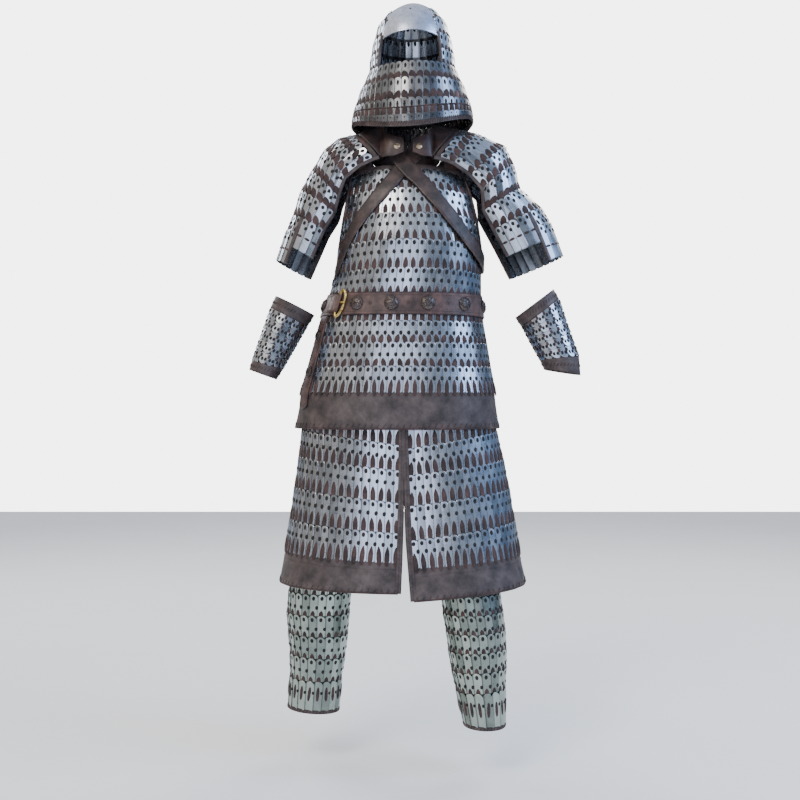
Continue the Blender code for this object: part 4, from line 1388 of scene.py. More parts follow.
@dataclass
class Cuirass:
    """Breast and back of nine laced rows, with leather at the neck, armholes and hem."""

    columns: int = 72
    hem_tuck: float = 0.014
    curl: float = 0.0030

    def lines(self, middle: float) -> np.ndarray:
        """Give the row lines of the half that faces middle degrees."""
        rows = []
        for line in BODY.lines:
            angles = np.linspace(middle - line.half_angle, middle + line.half_angle, self.columns + 1)
            rows.append(BODY.points(angles, line))
        return np.array(rows)

    def build(self) -> list[bpy.types.Object]:
        """Build both halves."""
        made = []
        for number, (label, middle) in enumerate(zip(HALVES, (0.0, 180.0))):
            lines = self.lines(middle)
            wall = LacedWall(label, lines, False, 11 + number)
            for row in range(1, 10):
                wall.add_row(row, HEM_CUT if row == 9 else BODY_CUT, BODY_LACES.get(row, BODY_LACE))
            made += wall.build(SUIT_STEEL)
            made += self.edges(label, lines, number)
        return made

    def edges(self, label: str, lines: np.ndarray, number: int) -> list[bpy.types.Object]:
        """Build the hem, the neck edging, the bound sides and their stitches.

        Args:
            label: Name that the pieces start with.
            lines: The half's row lines.
            number: 0 for the front and 1 for the back.

        Returns:
            The objects.
        """
        hem = Hide(tucked(lines, self.hem_tuck), thickness=0.0024, ripple=0.0005, curl=self.curl, rows=9,
                   columns=90, seed=31 + number)
        made = [make_hide(label + "_hem", hem, HEM_LEATHER)]
        rim = hem.middle[-3] * 0.45 + hem.middle[-2] * 0.55
        thread = Pile(stitches(rim, hem.facing[-2], 0.0145, 0.016, *WHIP_THONG, aslant=62.0, seed=number),
                      hem.edge_bar(-1, 0.0021, 0.0019))
        made.append(thread.build(label + "_hem_whipping", THONG, smooth=THONG_SMOOTH))
        neck = Hide(lines[:2], thickness=0.0030, ripple=0.0002, rows=5, columns=60)
        made.append(make_hide(label + "_neck_edging", neck, HEM_LEATHER))
        sides = Pile(*bound_ends(lines, 0, 7), *bound_ends(lines, 6, 11, half_width=0.0034))
        made.append(sides.build(label + "_side_binding", HEM_LEATHER, smooth=LEATHER_SMOOTH))
        return made


@dataclass
class ShoulderStrap:
    """One leather strap that joins breast and back over the shoulder."""

    side: Side
    inner_arch: float
    outer_arch: float
    inner_angle: float = 32.0
    outer_angle: float = 54.0
    steps: int = 24

    def build(self) -> list[bpy.types.Object]:
        """Build the strap."""
        sign = self.side.value
        lines = []
        for share in np.linspace(0.0, 1.0, self.steps + 1):
            line = []
            for part in np.linspace(0.0, 1.0, 5):
                angle = self.inner_angle + (self.outer_angle - self.inner_angle) * part
                arch = self.inner_arch + (self.outer_arch - self.inner_arch) * part
                front = BODY.points(np.array([sign * angle]), BODY.lines[0])[0]
                back = BODY.points(np.array([sign * (180.0 - angle)]), BODY.lines[0])[0]
                point = front * (1 - share) + back * share
                point[2] += 0.0003 + arch * math.sin(math.pi * share) ** 0.75
                line.append(point)
            lines.append(line if sign < 0 else line[::-1])
        name = f"shoulder_strap_{self.side.word}"
        hide = Hide(np.array(lines), thickness=0.0028, base=0.0, ripple=0.0, rows=26, columns=8, seed=5)
        return [make_hide(name + "_leather", hide, COLLAR_LEATHER,
                          replaces=name)]


@dataclass
class CrossStrap:
    """One strap that crosses the breast and the back."""

    name: str
    route: tuple[tuple[float, float], ...]
    lift: float
    width: float = 0.034
    girth: float = 0.165
    thickness: float = 0.0030

    def build(self) -> list[bpy.types.Object]:
        """Build the strap and the stitches along its edges."""
        route = smooth_line(self.route, 5)
        lines = []
        for i, (angle, height) in enumerate(route):
            ahead, behind = route[min(i + 1, len(route) - 1)], route[max(i - 1, 0)]
            run = math.radians(ahead[0] - behind[0]) * self.girth
            rise = ahead[1] - behind[1]
            length = math.hypot(run, rise)
            line = []
            for share in np.linspace(-0.5, 0.5, 5):
                turn = angle + math.degrees(-rise / length * share * self.width / self.girth)
                line.append(BODY.on(turn, height + run / length * share * self.width, self.lift))
            lines.append(line)
        hide = Hide(np.array(lines), thickness=self.thickness, base=0.0, ripple=0.0001, rows=150, columns=9,
                    seed=7)
        item = make_hide(self.name + "_leather", hide, HARNESS_LEATHER,
                         replaces=self.name)
        thread = Pile(*[hide.sewn(np.s_[1:-1, c], *FINE_STITCH, seed=c + 9) for c in (2, -3)])
        return [item, thread.build(self.name + "_stitches", THONG, smooth=THONG_SMOOTH)]


def rosette(petals: int = 8, rings: int = 12, segments: int = 48) -> Shape:
    """Give a domed boss with a plain ring of petals and a beaded rim, one unit in radius.

    Args:
        petals: Number of petals.
        rings: Rings from the middle to the rim.
        segments: Points in a ring.

    Returns:
        The shape; its height of one stands for the boss's height.
    """
    turn = full_turn(segments)
    points = [(0.0, 0.0, 1.06)]
    for ring in range(1, rings + 1):
        r = ring / rings
        dome = math.cos(r * math.pi / 2) ** 0.6 * 0.85 + 0.15 if r < 1 else 0.15
        for angle in turn:
            # Heights and places from the middle, in shares of the boss: petals, knob, groove and beads.
            petal = 0.13 * abs(math.cos(petals / 2 * angle)) * math.exp(-((r - 0.55) / 0.2) ** 2)
            knob = 0.14 * math.exp(-(r / 0.18) ** 2)
            groove = -0.10 * math.exp(-((r - 0.82) / 0.045) ** 2)
            bead = 0.05 * abs(math.cos(12 * angle)) * math.exp(-((r - 0.93) / 0.05) ** 2)
            points.append((r * math.cos(angle), r * math.sin(angle), dome + petal + knob + groove + bead))
    points += [(math.cos(a), math.sin(a), 0.0) for a in turn]
    faces = [(0, 1 + i, 1 + (i + 1) % segments) for i in range(segments)]
    last = 1 + rings * segments
    faces += [(last, last + i + 1, last + i) for i in range(1, segments - 1)]
    return Shape(np.array(points), np.concatenate([faces, grid_faces(rings + 1, segments, True) + 1]))


ROSETTE = rosette()


def facing_frame(out: np.ndarray) -> tuple[np.ndarray, np.ndarray]:
    """Give two directions that lie across an outward one."""
    down = unit(np.array([0.0, 0.0, -1.0]) - out * -out[2])
    return np.cross(down, out), down


def set_on(template: Shape, place: np.ndarray, out: np.ndarray, radius: float, height: float) -> Shape:
    """Set one round fitting at a place.

    Args:
        template: The fitting, one unit in radius and height.
        place: The place.
        out: Direction that it faces.
        radius: Its radius.
        height: Its height.

    Returns:
        The fitting's shape.
    """
    across, down = facing_frame(out)
    return stamp(template, place[None], across[None] * radius, down[None] * radius, out[None] * height)


def wire_ring(place: np.ndarray, out: np.ndarray, radius: float, count: int, half_width: float) -> Shape:
    """Give a thin pressed ring round a place.

    Args:
        place: Its middle.
        out: Direction that it faces.
        radius: Its radius.
        count: Number of points along it.
        half_width: Half of the width of its rim.

    Returns:
        The ring's shape.
    """
    across, down = facing_frame(out)
    turn = full_turn(count)[:, None]
    path = place + (across * np.cos(turn) + down * np.sin(turn)) * radius
    return bar(path, np.repeat(out[None], count, 0), half_width, 0.0006, closed=True, sides=6)


@dataclass
class Belt:
    """Belt with its hanging end, buckle, tongue, holes and bosses."""

    bottom: float = 1.057
    top: float = 1.107
    leather: float = 0.0040
    lift: float = 0.0047
    tail_angle: float = -67.0
    tail_spread: float = 6.5
    tail_bottom: float = 0.846
    tail_tip: float = 0.008
    boss_radius: float = 0.0165
    boss_height: float = 0.0070
    boss_angles: tuple[float, ...] = (-78.0, -31.0, -6.0, 14.0, 45.0, 80.0, 112.0, 140.0, 165.0, 190.0,
                                      215.0, 250.0)
    hole_angles: tuple[float, ...] = (-20.0, 2.0, 29.0)
    tail_bosses: tuple[float, ...] = (1.010, 0.925)
    buckle_angle: float = -47.0
    buckle_half_width: float = 0.017
    buckle_half_height: float = 0.031
    wire: float = 0.0030
    girth: float = 0.19

    def build(self) -> list[bpy.types.Object]:
        """Build the belt and everything on it."""
        angles = np.linspace(0.0, 360.0, 120, endpoint=False)
        heights = np.linspace(self.top, self.bottom, 5)
        lines = BODY.patch(angles, heights, self.lift)
        hide = Hide(lines, closed=True, thickness=self.leather, base=0.0, ripple=0.0002, rows=9, columns=150,
                    seed=3)
        made = [make_hide("belt_leather", hide, BELT_HIDE,
                          replaces="belt")]
        made += self.tail()
        thread = Pile(*[hide.sewn(row, *BELT_STITCH, 0.0012, 0.0008, seed=row + 8) for row in (2, -3)])
        edge = Pile(*[hide.edge_bar(row, 0.0016, 0.0015) for row in (0, -1)])
        made.append(thread.build("belt_stitches", THONG, smooth=THONG_SMOOTH))
        made.append(edge.build("belt_edge_thong", THONG, smooth=THONG_SMOOTH))
        made += self.bosses()
        made.append(self.buckle())
        made += self.fold()
        made.append(self.eyelets())
        return made

    def tail(self) -> list[bpy.types.Object]:
        """Build the end that hangs from the belt."""
        heights = np.linspace(self.bottom - 0.0006, self.tail_bottom, 24)
        angles = np.linspace(self.tail_angle - self.tail_spread, self.tail_angle + self.tail_spread, 7)
        lines = BODY.patch(angles, heights, self.lift)
        tip = np.sin(np.linspace(0, math.pi, 7))[1:-1]
        lines[-1, 1:-1, 2] -= self.tail_tip * tip
        lines[-2, 1:-1, 2] -= self.tail_tip / 2 * tip
        hide = Hide(lines, thickness=0.0030, base=0.0, ripple=0.0002, rows=40, columns=9, seed=4)
        item = make_hide("belt_tail_leather", hide, BELT_HIDE,
                         replaces="belt_tail")
        thread = Pile(*[hide.sewn(np.s_[1:-2, c], *BELT_STITCH, seed=c + 20) for c in (2, -3)])
        return [item, thread.build("belt_tail_stitches", THONG, smooth=THONG_SMOOTH)]

    def bosses(self) -> list[bpy.types.Object]:
        """Build the domed bosses with a plain petal relief."""
        made = []
        seat = self.lift + self.leather + 0.0004
        middle = (self.top + self.bottom) / 2
        places = [(f"boss_{n:02d}", angle, middle, seat, self.boss_radius)
                  for n, angle in enumerate(self.boss_angles, start=1)]
        places += [(f"tail_boss_{n}", self.tail_angle, height, self.lift + 0.0034, self.boss_radius * 0.8)
                   for n, height in enumerate(self.tail_bosses, start=1)]
        for name, angle, height, lift, radius in places:
            dome = set_on(ROSETTE, BODY.on(angle, height, lift), BODY.outward(angle, height), radius,
                          self.boss_height)
            item = Pile(dome).build(name + "_rosette", BOSS_METAL, smooth=45.0)
            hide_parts(name)
            made.append(item)
        return made

    def buckle(self) -> bpy.types.Object:
        """Build the D-shaped buckle, its tongue and its bar."""
        middle = (self.top + self.bottom) / 2
        seat = self.lift + self.leather + 0.0005 + self.wire
        path, facing = [], []
        for turn in full_turn(48):
            reach = self.buckle_half_width * math.cos(turn)
            reach *= 0.45 if reach < 0 else 1.0
            angle = self.buckle_angle + math.degrees(reach / self.girth)
            height = middle + self.buckle_half_height * math.sin(turn)
            path.append(BODY.on(angle, height, seat))
            facing.append(BODY.outward(angle, height))
        loop = bar(np.array(path), np.array(facing), self.wire * 1.15, self.wire, closed=True, sides=10)
        tongue, out = [], []
        for share in np.linspace(0.10, 1.08, 12):
            angle = self.buckle_angle + math.degrees(self.buckle_half_width * share / self.girth)
            rise = self.wire * (1.25 if share > 0.8 else 0.6 + 0.9 * (1.0 - abs(share - 0.3)))
            tongue.append(BODY.on(angle, middle + 0.001, seat + rise - 0.0012))
            out.append(BODY.outward(angle, middle))
        pin = bar(np.array(tongue), np.array(out), 0.0023, 0.0016, taper=True)
        item = Pile(loop, pin).build("belt_buckle_and_tongue", BRASS, smooth=LEATHER_SMOOTH)
        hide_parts("belt_buckle")
        return item

    def fold(self) -> list[bpy.types.Object]:
        """Build the leather that folds round the buckle's bar, with its stitches."""
        angles = np.linspace(self.buckle_angle - 13.5, self.buckle_angle + 1.2, 12)
        seat = self.lift + self.leather + 0.0006
        high = seat + 2.1 * self.wire
        lifts = np.interp(angles, [angles[0], angles[0] + 4.5, angles[-1] - 1.0, angles[-1]],
                          [seat, seat + 0.003, high, high - 0.001])
        heights = np.linspace(self.top - 0.0045, self.bottom + 0.0045, 5)
        lines = BODY.patch(angles, heights, lifts)
        hide = Hide(lines, thickness=0.0022, base=0.0, ripple=0.0001, rows=7, columns=24, seed=8)
        made = [make_hide("belt_buckle_fold", hide, BELT_HIDE)]
        thread = Pile(*[hide.sewn(np.s_[1:-1, c], *FINE_STITCH, seed=c) for c in (2, 12)])
        made.append(thread.build("belt_buckle_fold_stitches", THONG, smooth=THONG_SMOOTH))
        return made

    def eyelets(self) -> bpy.types.Object:
        """Build the pressed rims of the belt's holes."""
        pile = Pile()
        middle = (self.top + self.bottom) / 2
        for angle in self.hole_angles:
            place = BODY.on(angle, middle, self.lift + self.leather + 0.0004)
            pile.add(wire_ring(place, BODY.outward(angle, middle), 0.0031, 20, 0.0008))
        return pile.build("belt_hole_rims", THONG, smooth=THONG_SMOOTH)


@dataclass(frozen=True)
class ThighLine:
    """One row line of a thigh guard."""

    name: str
    inner_x: float
    outer_x: float
    inner_height: float
    outer_height: float
    front: float
    back: float


THIGH_CUT = PlateCut(0.0185, (Hole(0.04, 0.0098, 0.0043, 0.0058),), (Hole(0.5, 0.0300, 0.0042, 0.0058),),
                     arch=0.0104)
THIGH_HEM_CUT = replace(THIGH_CUT, reach=0.0015, foot=0.0045, lift_bottom=0.0042)


@dataclass
class ThighGuard:
    """Half of the split skirt: laced rows, a leather hem and a leather edge at each slit."""

    side: Side
    lines: tuple[ThighLine, ...]
    slit_back: float = 0.010
    columns: int = 96
    power: float = 2.5
    hem_tuck: float = 0.014
    curl: float = 0.0035

    def grid(self) -> np.ndarray:
        """Give the row lines from the front slit round to the back one."""
        sign = self.side.value
        angles = np.linspace(0.0, 180.0, self.columns + 1)
        rows = []
        for line in self.lines:
            span = line.outer_x - line.inner_x
            x, y = plan_points(angles, span, line.front, line.back, self.power)
            slit = line.inner_x + self.slit_back * np.maximum(y, 0.0) / line.back
            height = line.inner_height + (line.outer_height - line.inner_height) * x / span
            row = np.stack([sign * (slit + x * (line.outer_x - slit) / span), y, height + GROUND_Z], axis=1)
            rows.append(row if sign > 0 else row[::-1])
        return np.array(rows)

    def build(self) -> list[bpy.types.Object]:
        """Build the plates, the laces and the leather."""
        label = f"thigh_guard_{self.side.word}"
        lines = self.grid()
        seed = 40 + self.side.value
        wall = LacedWall(label, lines, False, seed)
        for row in range(5):
            last = row == 4
            lace = LaceCut(Lacing.OVAL, length=0.046 if last else 0.040, width=0.0120,
                           above=-0.009 if last else -0.0074, height=0.0025)
            wall.add_row(row, THIGH_HEM_CUT if last else THIGH_CUT, lace)
        made = wall.build(SUIT_STEEL)
        hem = Hide(tucked(lines, self.hem_tuck), thickness=0.0024, ripple=0.0006, curl=self.curl, rows=9,
                   columns=100, seed=seed + 5)
        made.append(make_hide(label + "_hem", hem, HEM_LEATHER))
        run = np.linspace(0.0, 1.0, hem.middle.shape[1])
        wave = (0.42 + 0.05 * np.sin(run * 2 * math.pi * 9))[:, None]
        zigzag = hem.middle[3] * (1 - wave) + hem.middle[5] * wave
        rim = hem.middle[-3] * 0.35 + hem.middle[-2] * 0.65
        thread = Pile(stitches(zigzag, hem.facing[4], 0.0055, 0.0042, seed=seed),
                      stitches(rim, hem.facing[-2], 0.0150, 0.013, *WHIP_THONG, aslant=62.0,
                               seed=seed + 1),
                      hem.edge_bar(-1, 0.0020, 0.0018))
        made.append(thread.build(label + "_hem_stitches", THONG, smooth=THONG_SMOOTH))
        normals = grid_normals(lines, False)
        slits = Pile(*bound_ends(lines, half_width=0.0075, half_height=0.0042))
        whipping = Pile()
        for column in (0, -1):
            path = even_points(lines[:, column] + normals[:, column] * 0.0070, 40)
            facing = unit(read_along(normals[:, column], np.arange(7), np.linspace(0, 6, 41)))
            whipping.add(stitches(path, facing, 0.0090, 0.0075, 0.0013, 0.0008, aslant=12.0, seed=seed + 2))
        made.append(slits.build(label + "_slit_edging", HEM_LEATHER, smooth=LEATHER_SMOOTH))
        made.append(whipping.build(label + "_slit_stitches", THONG, smooth=THONG_SMOOTH))
        return made


@dataclass(frozen=True)
class ArmLine:
    """One row line of a shoulder guard, by its two ends as seen from the front."""

    name: str
    inner_x: float
    inner_height: float
    outer_x: float
    outer_height: float
    centre_y: float
    front: float
    back: float
    wrap: float

    def points(self, sign: int, turns: np.ndarray) -> np.ndarray:
        """Give points on the line.

        Args:
            sign: -1 on the left, 1 on the right.
            turns: Degrees, where 0 is outermost and -90 is the front.

        Returns:
            The points.
        """
        inner = np.array([sign * self.inner_x, 0.0, self.inner_height])
        outer = np.array([sign * self.outer_x, 0.0, self.outer_height])
        full = np.linalg.norm(outer - inner)
        radius = full / (1.0 + math.sin(math.radians(self.wrap)))
        outward = (outer - inner) / full
        centre = outer - outward * radius
        cosine, sine = np.cos(np.radians(turns)), np.sin(np.radians(turns))
        points = centre + outward * radius * cosine[:, None]
        points[:, 1] = self.centre_y + np.where(turns < 0, self.front, self.back) * sine
        points[:, 2] += GROUND_Z
        return points


SHOULDER_CUT = PlateCut(0.0190, (Hole(0.04, 0.0092, 0.0042, 0.0051),), (Hole(0.5, 0.0200, 0.0041, 0.0051),),
                        arch=0.0100)
LAPPET_CUT = PlateCut(0.0190, (Hole(0.04, 0.0092, 0.0041, 0.0050),), (Hole(0.5, 0.0200, 0.0039, 0.0049),),
                      arch=0.0100, reach=0.0015, foot=0.0040, lift_bottom=0.0034)


@dataclass
class ShoulderGuard:
    """Laced rows over the shoulder and down the arm, with a front and an outer lappet."""

    side: Side
    lines: tuple[ArmLine, ...]
    split_turn: float = -62.0
    columns: int = 60

    def grid(self, lines: Sequence[ArmLine], start: Optional[float], stop: Optional[float]) -> np.ndarray:
        """Give the points of row lines between two turns.

        Args:
            lines: The row lines by their ends.
            start: The first turn, or None for a line's own wrap.
            stop: The last turn, or None.

        Returns:
            The lines' points.
        """
        rows = []
        for line in lines:
            low = -(90.0 + line.wrap) if start is None else start
            high = 90.0 + line.wrap if stop is None else stop
            row = line.points(self.side.value, np.linspace(low, high, self.columns + 1))
            rows.append(row if self.side.value > 0 else row[::-1])
        return np.array(rows)

    def build(self) -> list[bpy.types.Object]:
        """Build the guard and its lappets."""
        label = f"shoulder_{self.side.word}"
        seed = 60 + self.side.value
        cape = self.grid(self.lines[:7], None, None)
        wall = LacedWall(label, cape, False, seed)
        slant = LaceCut(Lacing.SLANTED, length=0.029, width=0.0162, height=0.0024, above=-0.0068,
                        lean=-30.0 * self.side.value)
        for row in range(1, 6):
            wall.add_row(row, SHOULDER_CUT, slant)
        made = wall.build(SUIT_STEEL)
        band = Hide(cape[:2] + np.array([0.0, 0.0, 0.0004]), thickness=0.0028, ripple=0.0002, rows=4,
                    columns=60)
        made.append(make_hide(label + "_top_edging", band, COLLAR_LEATHER))
        made += self.edging(label, cape)
        top = blend(self.lines[6], self.lines[7], 0.012)
        gap = 0.9
        front = self.grid([top, self.lines[8]], None, self.split_turn - gap)
        made += self.lappet(label + "_front_lappet", front, seed + 3)
        outer = self.grid([top, self.lines[7], self.lines[9]], self.split_turn + gap, None)
        made += self.lappet(label + "_outer_lappet", outer, seed + 6)
        return made

    def lappet(self, label: str, lines: np.ndarray, seed: int) -> list[bpy.types.Object]:
        """Build one lappet.

        Args:
            label: Its name.
            lines: Its row lines.
            seed: Seed of its small differences.

        Returns:
            The objects.
        """
        wall = LacedWall(label, lines, False, seed)
        last = len(lines) - 2
        for row in range(last + 1):
            above, lean = (0.024, 86.0) if row == last else (0.0005, 24.0 * self.side.value)
            cross = LaceCut(Lacing.SLANTED, length=0.015, width=0.0062, above=above, lean=lean, height=0.0020)
            wall.add_row(row, LAPPET_CUT if row == last else SHOULDER_CUT, cross)
        made = wall.build(SUIT_STEEL)
        return made + self.edging(label, lines)

    def edging(self, label: str, lines: np.ndarray) -> list[bpy.types.Object]:
        """Build the leather bound over both ends of the rows."""
        sides = Pile(*bound_ends(lines, half_width=0.0046))
        return [sides.build(label + "_edging", HEM_LEATHER, smooth=LEATHER_SMOOTH)]


@dataclass
class Collar:
    """One brown leather yoke from the throat round the neck, with its stitched end and stud."""

    side: Side
    guard: tuple[ArmLine, ...]
    middle_x: float = 0.012
    middle_y: float = -0.004
    half_width: float = 0.070
    half_depth: float = 0.078
    front_angle: float = 54.0
    back_angle: float = 158.0
    front_height: float = 1.492
    side_height: float = 1.520
    seam: float = 0.0009
    corner_cut: float = 3.5
    round: float = 0.004
    columns: int = 14
    stud_radius: float = 0.0065
    stud_height: float = 0.0035
    stud_seat_y: float = -0.1094
    tongue: tuple[tuple[float, ...], ...] = (
        (0.010, -0.100, 1.470, 0.010, -0.109, 1.437),
        (0.031, -0.098, 1.476, 0.032, -0.110, 1.428),
        (0.048, -0.086, 1.485, 0.051, -0.107, 1.427),
    )
    end: tuple[float, ...] = (0.001, 0.074, 1.500, 0.001, 0.126, 1.442)

    def station(self, numbers: Sequence[float]) -> tuple[np.ndarray, np.ndarray]:
        """Give the neck edge and the outer edge at one station."""
        sign = self.side.value
        a, b, c, d, e, f = numbers
        return (np.array([self.middle_x + sign * a, b, c + GROUND_Z]),
                np.array([self.middle_x + sign * d, e, f + GROUND_Z]))

    def neck(self, share: float) -> np.ndarray:
        """Give the neck edge.

        Args:
            share: Where it is read, from the guard's front (0) to its back (1).

        Returns:
            The point.
        """
        angle = self.front_angle + (self.back_angle - self.front_angle) * share
        x, y = plan_points(np.array([angle]), self.half_width, self.half_depth, self.half_depth, 2.0)
        rise = (self.side_height - self.front_height) * math.sin(math.radians(angle)) ** 2
        return np.array([self.middle_x + self.side.value * x[0], self.middle_y + y[0],
                         self.front_height + rise + GROUND_Z])

    def grid(self) -> np.ndarray:
        """Give the lines along the yoke, from the neck edge out."""
        sign = self.side.value
        edge, row = [line.points(sign, np.linspace(-(90 + line.wrap), 90 + line.wrap, self.columns + 1))
                     for line in self.guard[:2]]
        pairs = [self.station(numbers) for numbers in self.tongue]
        for column in range(self.columns + 1):
            seam = self.seam * (self.corner_cut if column in (0, 1, self.columns) else 1.0)
            step = unit(row[column] - edge[column])
            pairs.append((self.neck(column / self.columns), edge[column] - step * seam))
        pairs.append(self.station(self.end))
        lines = []
        for share in np.linspace(0.0, 1.0, 7):
            line = np.array([inner * (1 - share) + outer * share for inner, outer in pairs])
            line[:, 2] += self.round * 4 * share * (1 - share)
            lines.append(smooth_line(line if sign > 0 else line[::-1], 4))
        return np.array(lines)

    def build(self) -> list[bpy.types.Object]:
        """Build the yoke, its stitches and its stud."""
        label = f"collar_{self.side.word}"
        hide = Hide(self.grid(), thickness=0.0028, base=0.0, ripple=0.0002, rows=13, columns=110, seed=9)
        made = [make_hide(label + "_leather", hide, COLLAR_LEATHER, replaces=label)]
        end = 3 if self.side is Side.RIGHT else -4
        thread = Pile(*[hide.sewn(np.s_[row, 1:-1], *FINE_STITCH, seed=row + 5) for row in (2, -3)],
                      hide.sewn(np.s_[2:-2, end], *FINE_STITCH, seed=15))
        made.append(thread.build(label + "_stitches", THONG, smooth=THONG_SMOOTH))
        out = unit(np.array([0.0, -1.0, 0.30]))
        place = np.array([self.middle_x + self.side.value * 0.026, self.stud_seat_y, 1.450 + GROUND_Z])
        stud = Pile(set_on(pad_template(6, 20, 2.0), place, out, self.stud_radius, self.stud_height),
                    wire_ring(place + out * 0.0006, out, self.stud_radius, 24, 0.0007))
        item = stud.build(label + "_stud", STUD_METAL, smooth=LEATHER_SMOOTH)
        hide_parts(f"collar_stud_{self.side.word}")
        made.append(item)
        return made


@dataclass(frozen=True)
class HeadRing:
    """One ring round the head."""

    name: str
    height: float
    half_width: float
    front: float
    back: float
    side_lift: float = 0.0


@dataclass(frozen=True)
class Head:
    """Where the helmet sits and how it is turned and leant."""

    x: float = 0.023
    y: float = -0.006
    turn: float = -5.0
    lean: float = 0.045
    power: float = 2.1

    def ring(self, ring: HeadRing, angles: np.ndarray, lift: float = 0.0) -> np.ndarray:
        """Give points on a ring of the head.

        Args:
            ring: The ring.
            angles: Degrees, where 0 is the front.
            lift: How far it is raised.

        Returns:
            The points.
        """
        x, y = plan_points(angles, ring.half_width, ring.front, ring.back, self.power)
        turn = math.radians(self.turn)
        height = ring.height + lift + ring.side_lift * np.sin(np.radians(angles)) ** 2 + self.lean * x
        return np.stack([self.x + x * math.cos(turn) - y * math.sin(turn),
                         self.y + x * math.sin(turn) + y * math.cos(turn), height + GROUND_Z], axis=1)


HEAD = Head()
HELMET_CUT = PlateCut(0.0165, (Hole(0.04, 0.0112, 0.0036, 0.0058),), arch=0.0092, lift_top=0.0054)
FACE_CUT = PlateCut(0.0162, (Hole(0.04, 0.0122, 0.0033, 0.0064),), arch=0.0096, lift_top=0.0056)
FACE_LONG_CUT = PlateCut(0.0162, (Hole(0.04, 0.0120, 0.0031, 0.0064),), arch=0.0096, lift_top=0.0056)
FACE_LAST_CUT = PlateCut(0.0162, (Hole(0.04, 0.0062, 0.0019, 0.0018),), arch=0.0040, reach=0.0020,
                         lift_bottom=0.0030)


@dataclass
class Helmet:
    """Bowl with its crown, brow plate and laced side rows."""

    opening: float = 44.0
    brow_arch: float = 0.011
    steel: float = 0.0022
    apex: float = 1.8140
    crown: tuple[HeadRing, ...] = (
        HeadRing("apex_ring", 1.8090, 0.020, 0.022, 0.022),
        HeadRing("shoulder", 1.7980, 0.040, 0.046, 0.046),
        HeadRing("seam", 1.7860, 0.056, 0.065, 0.065),
    )
    sides: tuple[HeadRing, ...] = (
        HeadRing("seam", 1.7855, 0.0565, 0.0655, 0.0655),
        HeadRing("row_2", 1.7600, 0.0780, 0.0900, 0.0920),
        HeadRing("row_3", 1.7200, 0.0900, 0.1020, 0.1080),
        HeadRing("row_4", 1.6820, 0.0970, 0.1070, 0.1140),
        HeadRing("edge", 1.6460, 0.1010, 0.1090, 0.1170),
    )
    brow: tuple[HeadRing, ...] = (
        HeadRing("seam", 1.7855, 0.0565, 0.0655, 0.0655),
        HeadRing("upper", 1.7700, 0.0710, 0.0820, 0.0820),
        HeadRing("lower", 1.7450, 0.0835, 0.0965, 0.0965),
        HeadRing("brim", 1.7100, 0.0920, 0.1040, 0.1090),
    )

    def build(self) -> list[bpy.types.Object]:
        """Build the bowl."""
        made = self.side_rows()
        made += self.brow_plate()
        made.append(self.crown_plate())
        return made

    def side_rows(self) -> list[bpy.types.Object]:
        """Build the four laced rows round the sides and the back."""
        angles = np.linspace(self.opening + 0.2, 360.0 - self.opening - 0.2, 90)
        lines = np.array([HEAD.ring(ring, angles) for ring in self.sides])
        wall = LacedWall("helmet_side_rows", lines, False, 80)
        lace = LaceCut(Lacing.SMALL, length=0.0180, width=0.0112, height=0.0023, across=0.08, above=-0.0050)
        for row in range(4):
            wall.add_row(row, HELMET_CUT, lace)
        made = wall.build(SUIT_STEEL)
        sides = Pile(*bound_ends(lines, 2, half_width=0.0036, half_height=0.0038))
        made.append(sides.build("helmet_opening_binding", HEM_LEATHER, smooth=LEATHER_SMOOTH))
        return made

    def brow_plate(self) -> list[bpy.types.Object]:
        """Build the arched front plate, its raised rim and its rivets."""
        angles = np.linspace(-self.opening + 0.2, self.opening - 0.2, 49)
        arch = self.brow_arch * np.cos(np.radians(angles * 90.0 / self.opening))
        rows = [HEAD.ring(ring, angles, arch if ring is self.brow[-1] else 0.0) for ring in self.brow]
        lines = smooth_line(rows, 5)
        hide = Hide(lines, thickness=self.steel, base=0.0, ripple=0.0001, rows=18, columns=60)
        made = [make_hide("helmet_brow_steel", hide, HELMET_STEEL, replaces="helmet_brow_plate",
                          declared=False)]
        rim = bar(hide.middle[-2] - hide.facing[-2] * 0.0002, hide.facing[-2], 0.0011, 0.0009)
        made.append(Pile(rim).build("helmet_brow_rim", HELMET_STEEL, smooth=LEATHER_SMOOTH))
        rivets = Pile()
        dome = pad_template(4, 14, 2.0)
        width = hide.middle.shape[1]
        for where in ((-10, 3), (-16, int(width * 0.5)), (-10, width - 4)):
            rivets.add(set_on(dome, hide.middle[where], hide.facing[where], 0.0028, 0.0014))
        made.append(rivets.build("helmet_rivets", BOSS_METAL, smooth=THONG_SMOOTH))
        return made

    def crown_plate(self) -> bpy.types.Object:
        """Build the domed top plate with its slight point."""
        angles = np.linspace(0.0, 360.0, 72, endpoint=False)
        apex = np.array([HEAD.x, HEAD.y, self.apex + GROUND_Z])
        rings = [HEAD.ring(ring, angles) for ring in self.crown]
        peak = apex * 0.94 + rings[0].mean(0) * 0.06
        fine = smooth_line([peak * 0.985 + rings[0] * 0.015, *rings], 5)
        normals = grid_normals(fine, True)
        normals[0] = np.array([0.0, 0.0, 1.0])
        outer = fine + normals * self.steel
        top = outer[0].mean(0) - np.array([0.0, 0.0, 0.0004])
        knob = stamp(pad_template(5, 24, 2.0), top[None], *(np.diag([-0.0042, -0.0042, 0.0022])[:, None]))
        pile = Pile(wrap_solid(outer, fine, True), knob)
        item = pile.build("helmet_crown_steel", HELMET_STEEL, smooth=LEATHER_SMOOTH)
        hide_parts("helmet_crown")
        return item


